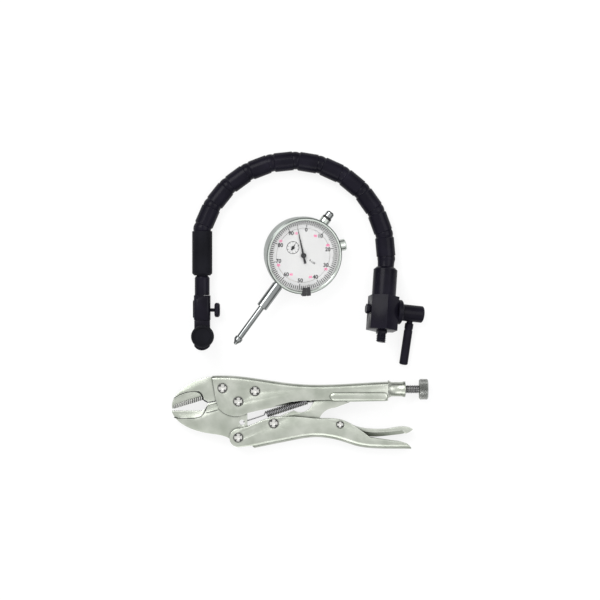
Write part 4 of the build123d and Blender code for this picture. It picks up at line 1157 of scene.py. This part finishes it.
# ---------------------------------------------------------------- locking flexible arm
@dataclass
class FlexibleArm:
    """The segmented arm: end block, links on balls, ferrule, swivel, fine adjustment and clamp."""

    rig: Rig
    edge: float = 0.3
    link_count: int = 11
    cable_start: float = 0.85
    cable_end: float = 14.0
    cable_gap: float = 0.3
    strand_count: int = 6
    strand_r: float = 0.36
    strand_twist: float = 2.5
    knob_r: float = 8.2
    knob_height: float = 9.0
    thumb_r: float = 5.35
    thumb_head: float = 3.9
    stud_r: float = 3.5
    stud_length: float = 8.5
    stud_pitch: float = 1.25
    stud_thread_depth: float = 0.6
    stud_turns: int = 4
    neck_half: float = 3.3
    neck_length: float = 2.5
    washer_r: float = 5.2
    washer_gap: float = 0.12
    washer_thickness: float = 0.22

    def build(self) -> None:
        """Make and dress every piece of the arm."""
        links = [f"link_{number + 1:02d}" for number in range(self.link_count)]
        self.rig.dress(BLACK, *links, "cam_shaft", "lever_rod", "tilt_pin", "shaft_collar",
                       "swivel_rod")
        self.rig.dress(BLACK_MATT, "end_ferrule")
        for node in ("end_block", "fine_adjust_body", "shaft_nut", "clamp_plate", "leaf_spring"):
            piece = Bench.softened(self.rig, node, self.edge if node != "leaf_spring" else 0.08)
            Bench.finished(piece, BLACK, self.rig.body_of(node), replaces=[node])
        self.cable(links)
        self.washer()
        self.knob()
        self.thumbscrew()
        self.stud()

    def cable(self, links: Sequence[str]) -> None:
        """Lay the stranded cable in lengths that each ride on one link.

        Args:
            links: The links' bodies, from the block to the ferrule.
        """
        balls = [self.rig.joint(f"ball_{number + 1:02d}")[0] for number in range(self.link_count + 1)]
        block_axis = self.rig.joint("lever_turn")[0] - balls[0]
        swivel = self.rig.joint("swivel")[0]
        runs = [("arm_block", balls[0] + block_axis * self.cable_start, balls[0])]
        runs += [(link, balls[i], balls[i + 1]) for i, link in enumerate(links)]
        last = (swivel - balls[-1]).normalized()
        runs += [("ferrule", balls[-1], balls[-1] + last * self.cable_end)]
        lay_r = self.strand_r * 1.55
        replaced = ["tension_cable"]
        for number, (body, start, end) in enumerate(runs):
            length = (end - start).length - 2 * self.cable_gap
            strands = []
            for strand in range(self.strand_count):
                line = []
                for share in (0.0, 0.2, 0.4, 0.6, 0.8, 1.0):
                    angle = strand * 2 * math.pi / self.strand_count + share * self.strand_twist
                    line.append((math.cos(angle) * lay_r, math.sin(angle) * lay_r,
                                 self.cable_gap + length * share))
                strands.append(Bench.wire(f"strand_{strand}", line, self.strand_r, 1))
            piece = Bench.joined(f"tension_cable_{number + 1:02d}", strands)
            place = axes(start, end - start, UPWARD)
            Bench.finished(piece, CABLE, body, place, replaced, angle=60.0)
            replaced = []

    def washer(self) -> None:
        """Close the narrow gap above the fine adjustment with a thin dark washer."""
        foot = self.rig.middle("swivel_rod")
        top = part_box("fine_adjust_body")[1].y / MM + self.washer_gap
        washer = Bench.turned("swivel_washer", [
            (0.0, 0.0), (self.washer_r, 0.0), (self.washer_r, self.washer_thickness),
            (0.0, self.washer_thickness)], 48)
        place = axes(Vector((foot.x, top, self.rig.joint("swivel")[0].z)), Vector((0, 1, 0)),
                     UPWARD)
        Bench.finished(washer, BLACK_MATT, "swivel_rod", place)

    def knob(self) -> None:
        """Turn the clamp's cupped knob and knurl its side."""
        low, high = (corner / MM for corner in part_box("clamp_knob"))
        axis = (low + high) / 2
        top = high.z
        bottom = top - self.knob_height
        foot = self.knob_r - 0.4
        cup = Bench.turned("clamp_knob_cup", [
            (0.0, low.z), (2.5, low.z), (2.5, bottom), (foot - 0.7, bottom), (foot, bottom + 0.8),
            (foot, top - 0.9), (foot - 0.3, top - 0.25), (foot - 0.9, top), (6.5, top),
            (6.2, top - 0.3), (6.0, top - 2.2), (2.2, top - 2.2), (2.0, top - 2.0), (1.6, top - 1.8),
            (0.0, top - 1.75)], 72)
        band = Bench.knurled("clamp_knob_band", foot + 0.02, bottom + 0.8, top - 0.9, 48, 7, 0.36)
        knob = Bench.joined("clamp_knob_knurled", [cup, band])
        place = METRES @ Matrix.Translation((axis.x, axis.y, 0.0))
        Bench.finished(knob, BLACK_MATT, "clamp_knob", place, ["clamp_knob"], angle=25.0)

    def thumbscrew(self) -> None:
        """Turn the fine adjustment's thumbscrew, with a grooved head."""
        low, high = (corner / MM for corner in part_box("fine_adjust_screw"))
        middle = (low + high) / 2
        length = high.x - low.x
        head = length - self.thumb_head
        foot = self.thumb_r - 0.35
        screw = Bench.turned("thumb_body", [
            (0.0, 0.0), (1.25, 0.3), (1.25, head), (foot - 0.8, head), (foot, head + 0.6),
            (foot, length - 1.0), (foot - 0.5, length - 0.3), (foot - 1.2, length),
            (0.0, length - 0.2)], 48)
        band = Bench.knurled("thumb_band", foot + 0.02, head + 0.6, length - 1.0, 36, 3, 0.32)
        thumb = Bench.joined("fine_adjust_screw_knurled", [screw, band])
        axis = self.rig.joint("fine_screw_turn")[1]
        start = Vector((low.x if axis.x > 0 else high.x, middle.y, middle.z))
        Bench.finished(thumb, BLACK, "fine_adjust_screw", axes(start, axis, UPWARD),
                       ["fine_adjust_screw"], angle=28.0)

    def stud(self) -> None:
        """Thread the mounting stud below its square neck."""
        ball = self.rig.joint("ball_01")[0]
        cam = self.rig.joint("lever_turn")[0]
        axis = (cam - ball).normalized()
        side = self.rig.joint("lever_turn")[1]
        mount = next(m for m in self.rig.frame["record"]["mounts"] if m["name"] == "arm_stud")
        thread_middle = Vector(mount["pos_m"]) / MM
        half = mount["dims"]["length_mm"] / 2
        foot = thread_middle - axis * (half + self.neck_length)
        pitch = self.stud_pitch
        root = self.stud_r - self.stud_thread_depth
        thread = Bench.screwed(Bench.profile("stud_thread", [
            (root, 0.0), (self.stud_r, pitch * 0.45), (self.stud_r, pitch * 0.55), (root, pitch)],
            closed=False), 36, pitch, self.stud_turns)
        thread.data.transform(Matrix.Translation((0, 0, self.neck_length)))
        core = Bench.turned("stud_core", [
            (0.0, 0.0), (root - 0.05, 0.0), (root + 0.02, 2.4), (root + 0.02, self.stud_length - 0.8),
            (root - 0.7, self.stud_length), (0.0, self.stud_length)], 36)
        side_half = self.neck_half
        neck = Bench.prism("stud_neck", [
            (-side_half, -side_half), (side_half, -side_half), (side_half, side_half),
            (-side_half, side_half)], 0.0, self.neck_length)
        Bench.bevelled(neck, 0.5)
        stud = Bench.joined("mounting_stud_threaded", [thread, core, neck])
        Bench.finished(stud, BLACK, "arm_block", axes(foot, axis, side), ["mounting_stud"])


# ---------------------------------------------------------------- dial indicator
@dataclass
class DialIndicator:
    """The dial indicator: case, bezel, crystal, printed dial, pointers, movement and spindle."""

    rig: Rig
    print_gap: float = 0.03
    tick_out_r: float = 24.9
    tick_length: float = 2.9
    long_tick: float = 4.4
    tick_width: float = 0.5
    number_r: float = 18.3
    flank_slant: float = 0.7
    return_length: float = 36.6
    return_r: float = 0.6
    return_wire_r: float = 0.15
    return_turns: int = 32
    return_sides: int = 10
    return_keep: float = 0.475
    number_size: float = 3.9
    small_size: float = 2.4
    range_words: str = "0-1.00"
    range_size: float = 1.9
    range_place: Point = (8.3, 0.0)
    counter_offset: float = 9.5
    counter_r: float = 4.4
    hub_r: float = 1.2
    reverse_sides: tuple[Point, ...] = (
        (0.0, 0.0), (-3.6, 0.0), (0.0, 3.0), (0.0, -3.0), (-3.6, 0.0), (0.0, 0.0), (3.6, 0.0),
        (0.0, -3.0), (0.0, 3.0), (3.6, 0.0))
    zero_heading: float = 85.3

    def build(self) -> None:
        """Make and dress every piece of the indicator."""
        self.rig.dress(CASE, "bezel", "bezel_lock_screw", "top_bushing", "back_cover_screws")
        # The case and its back cover take the darker copy of the chrome: painted shade on the sides.
        self.rig.dress(CASE_SIDE_SHADE, "indicator_case", "back_cover")
        self.shade_side("bezel")
        self.rig.dress(POLISHED, "stem", "spindle", "contact_point", "lifting_cap")
        self.rig.dress(PAPER, "dial_ring", "inner_dial")
        self.rig.dress(POINTER, "main_pointer", "counter_pointer", "limit_marker_left",
                       "limit_marker_right")
        self.rig.dress(CRYSTAL, "crystal")
        self.rig.dress(RUBBER, "buffer_ring")
        self.rig.dress(BRASS, "movement_frame", "drive_gear", "hairspring_gear")
        origin, normal = self.rig.joint("bezel_turn")
        up = self.rig.joint("spindle_slide")[1]
        self.return_spring(up)
        self.place = axes(origin, normal, up.cross(normal))
        face = self.rig.node("dial_ring").data
        back = self.place.inverted()
        self.face = max((back @ vertex.co).z for vertex in face.vertices) + self.print_gap
        self.zero = self.dial_angle(self.zero_heading)
        self.upright = self.dial_angle(90.0) - 90.0
        self.divisions()
        self.numbers()
        self.counter()

    def return_spring(self, up: Vector) -> None:
        """Wind the return spring as a coil of one length that rides on the case; the real one shortens
        as the spindle rises.

        Args:
            up: The direction the spindle rises in.
        """
        middle = self.rig.middle("return_spring")
        across = up.orthogonal().normalized()
        steps = self.return_turns * self.return_sides
        points = []
        for step in range(steps + 1):
            offset = across.copy()
            offset.rotate(Quaternion(up, 2 * math.pi * step / self.return_sides))
            points.append(middle + up * (self.return_length * (step / steps - 0.5))
                          + offset * self.return_r)
        coil = Bench.wire("return_spring_coil", points, self.return_wire_r, 1)
        Bench.finished(coil, SPRING, "indicator_case", METRES,
                       replaces=["return_spring"])
        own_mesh(coil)

    def shade_side(self, node: str) -> None:
        """Give the upright faces of a turned node the darker copy of the chrome, as painted shade on its
        sides.

        Args:
            node: The node's name.
        """
        origin, axis = self.rig.joint("bezel_turn")
        mesh = self.rig.node(node).data
        mesh.materials.append(CASE_SIDE_SHADE.material())
        for face in mesh.polygons:
            away = face.center / MM - origin
            outward = (away - axis * away.dot(axis)).normalized()
            if face.normal.dot(outward) > self.flank_slant:
                face.material_index = 1

    def dial_angle(self, heading: float) -> float:
        """Turn a heading on the bench into an angle on the tilted dial.

        Args:
            heading: The heading in degrees from the bench's X axis.

        Returns:
            The angle in degrees from the dial's own X axis.
        """
        turned = math.radians(heading)
        local = self.place.inverted().to_3x3() @ Vector((math.cos(turned), math.sin(turned), 0.0))
        return math.degrees(math.atan2(local.y, local.x))

    def mark(self, name: str, angle: float, inner: float, outer: float,
             width: float) -> Piece:
        """Print one radial line.

        Args:
            name: The line's name.
            angle: Its angle on the dial, in degrees.
            inner: Its inner radius.
            outer: Its outer radius.
            width: Its width.

        Returns:
            The line.
        """
        Bench.clear()
        bpy.ops.mesh.primitive_plane_add(size=1.0)
        line = Bench.named(name)
        line.data.transform(Matrix.Rotation(math.radians(angle), 4, "Z")
                            @ Matrix.Translation(((inner + outer) / 2, 0, self.face))
                            @ Matrix.Diagonal((outer - inner, width, 1, 1)))
        return line

    def ring(self, name: str, centre: Point, radius: float,
             width: float) -> Piece:
        """Print one thin circle.

        Args:
            name: The circle's name.
            centre: Its centre on the dial.
            radius: Its radius.
            width: The line's width.

        Returns:
            The circle.
        """
        circle = Bench.turned(name, [(radius - width / 2, 0.0), (radius + width / 2, 0.0),
                                     (radius + width / 2, 0.01), (radius - width / 2, 0.01)], 96)
        circle.data.transform(Matrix.Translation((*centre, self.face)))
        return circle

    def divisions(self) -> None:
        """Print the hundred divisions round the dial."""
        lines = []
        for step in range(100):
            reach = self.long_tick if step % 10 == 0 else self.tick_length
            reach = self.tick_length + 0.5 if step % 10 == 5 else reach
            lines.append(self.mark(f"line_{step}", self.zero - 3.6 * step, self.tick_out_r - reach,
                                   self.tick_out_r, self.tick_width))
        Bench.finished(Bench.joined("dial_divisions", lines), INK, "bezel", self.place)

    def numbers(self) -> None:
        """Print the scale's numbers, black clockwise and pink the other way."""
        black, pink = [], []
        turned = math.radians(self.upright)
        for step in range(10):
            angle = math.radians(self.zero - 36.0 * step)
            place = (self.number_r * math.cos(angle), self.number_r * math.sin(angle))
            black.append(Bench.text(f"number_{step}", str(10 * step), self.number_size, place,
                                    self.upright, self.face))
            across, above = self.reverse_sides[step]
            if not (across or above):
                continue
            small = (place[0] + across * math.cos(turned) - above * math.sin(turned),
                     place[1] + across * math.sin(turned) + above * math.cos(turned))
            pink.append(Bench.text(f"back_number_{step}", str(100 - 10 * step), self.small_size,
                                   small, self.upright, self.face))
        pink_print = Bench.joined("dial_reverse_numbers", pink)
        Bench.finished(pink_print, PINK_INK, "bezel", self.place)
        Bench.finished(Bench.joined("dial_numbers", black), INK, "bezel", self.place)

    def counter(self) -> None:
        """Print the revolution counter's small scale and the range on the inner dial."""
        centre = (-self.counter_offset, 0.0)
        lines = [self.ring("counter_circle", centre, self.counter_r, 0.35)]
        for step in range(10):
            angle = 90.0 - 36.0 * step
            line = self.mark(f"counter_line_{step}", angle, self.counter_r - 1.1, self.counter_r, 0.3)
            line.data.transform(Matrix.Translation((*centre, 0.0)))
            lines.append(line)
        lines.append(Bench.text("range", self.range_words, self.range_size, self.range_place, 0.0,
                                self.face))
        Bench.finished(Bench.joined("inner_dial_print", lines), INK, "indicator_case", self.place)
        top = max((self.place.inverted() @ vertex.co).z
                  for vertex in self.rig.node("counter_pointer").data.vertices)
        hub = Bench.turned("counter_hub", [(0.0, top - 0.1), (self.hub_r, top - 0.1),
                                           (self.hub_r, top + 0.05), (self.hub_r - 0.1, top + 0.12),
                                           (0.0, top + 0.12)], 32)
        hub.data.transform(Matrix.Translation((*centre, 0.0)))
        Bench.finished(hub, POINTER, "counter_pointer", self.place)


# ---------------------------------------------------------------- bench, lights and camera
@dataclass
class Studio:
    """A pale bench top, soft light all round and a camera straight above."""

    camera_height: float = 1800.0
    lens: float = 150.4
    sensor: float = 36.0
    floor_size: float = 6.0
    floor_drop: float = 0.05
    floor_glow: float = 0.8
    surround: float = 1.1
    lamps: tuple[tuple[str, tuple[float, float, float], float, float], ...] = field(default=(
        ("key_light", (-0.55, 0.75, 1.1), 0.8, 11.5),
        ("fill_light", (0.9, 0.2, 1.0), 0.9, 5.0),
        ("low_light", (-0.2, -1.0, 0.7), 0.7, 4.0),
    ))

    def build(self) -> None:
        """Set up the camera, floor, lamps and surroundings."""
        scene = bpy.context.scene
        scene.view_settings.view_transform = "Standard"
        Bench.clear()
        bpy.ops.object.camera_add(location=(0.0, 0.0, self.camera_height * MM), rotation=(0, 0, 0))
        camera = bpy.context.object
        camera.name = "overhead_camera"
        camera.data.lens = self.lens
        camera.data.sensor_width = self.sensor
        camera.data.clip_start = 0.01
        scene.camera = camera
        self.floor()
        for name, place, size, power in self.lamps:
            self.lamp(name, place, size, power)
        self.world()

    def lamp(self, name: str, place: tuple[float, float, float], size: float, power: float) -> None:
        """Hang a soft square lamp that faces the middle of the bench.

        Args:
            name: The lamp's name.
            place: Where it hangs, in metres.
            size: Its side, in metres.
            power: Its power, in watts.
        """
        Bench.clear()
        bpy.ops.object.light_add(type="AREA", location=place)
        lamp = bpy.context.object
        lamp.name = name
        lamp.data.size = size
        lamp.data.energy = power
        lamp.rotation_euler = Vector(place).to_track_quat("Z", "Y").to_euler()

    def backdrop(self, tree: Tree) -> Socket:
        """Say where only the background is seen: by the camera, in gloss and through glass.

        Args:
            tree: The nodes that it goes into.

        Returns:
            1 on such rays, 0 on the others.
        """
        path = tree.nodes.new("ShaderNodeLightPath")
        share = path.outputs["Is Camera Ray"]
        for ray in ("Is Glossy Ray", "Is Transmission Ray"):
            share = added(tree, "ShaderNodeMath", "Value", {0: share, 1: path.outputs[ray]},
                          "MAXIMUM")
        return share

    def floor(self) -> None:
        """Lay the bench top, white to the eye, with the object's shadow on it."""
        Bench.clear()
        bpy.ops.mesh.primitive_plane_add(size=self.floor_size, location=(0, 0, -self.floor_drop * MM))
        top = Bench.named("bench_top")
        white = bpy.data.materials.new("bench_white")
        white.use_nodes = True
        tree = white.node_tree
        shader = tree.nodes["Principled BSDF"]
        shader.inputs["Base Color"].default_value = (0.86, 0.86, 0.86, 1.0)
        shader.inputs["Roughness"].default_value = 0.9
        glow = added(tree, "ShaderNodeEmission", "Emission", {"Color": (1.0, 1.0, 1.0, 1.0)})
        share = added(tree, "ShaderNodeMath", "Value",
                      {0: self.backdrop(tree), 1: self.floor_glow}, "MULTIPLY")
        seen = added(tree, "ShaderNodeMixShader", "Shader",
                     {"Fac": share, 1: shader.outputs["BSDF"], 2: glow})
        tree.links.new(seen, tree.nodes["Material Output"].inputs["Surface"])
        top.data.materials.append(white)

    def world(self) -> None:
        """Light the surroundings evenly, a little darker low down for contrast in the metal."""
        world = bpy.data.worlds.new("soft_surround")
        world.use_nodes = True
        bpy.context.scene.world = world
        tree = world.node_tree
        back = tree.nodes["Background"]
        direction = added(tree, "ShaderNodeTexCoord", "Generated")
        height = added(tree, "ShaderNodeSeparateXYZ", "Z", {"Vector": direction})
        sky = ramp(tree, height, (0.05, (0.12, 0.125, 0.125)), (0.75, (1.0, 1.0, 1.0)))
        tree.links.new(sky, back.inputs["Color"])
        back.inputs["Strength"].default_value = self.surround


def main() -> None:
    """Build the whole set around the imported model."""
    logging.basicConfig(level=logging.INFO, format="%(name)s: %(message)s")
    rig = Rig(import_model())
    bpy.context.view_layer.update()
    Studio().build()
    LockingPliers(rig).build()
    FlexibleArm(rig).build()
    DialIndicator(rig).build()
    Bench.clear()
    bpy.context.view_layer.update()


if __name__ == "__main__":
    main()
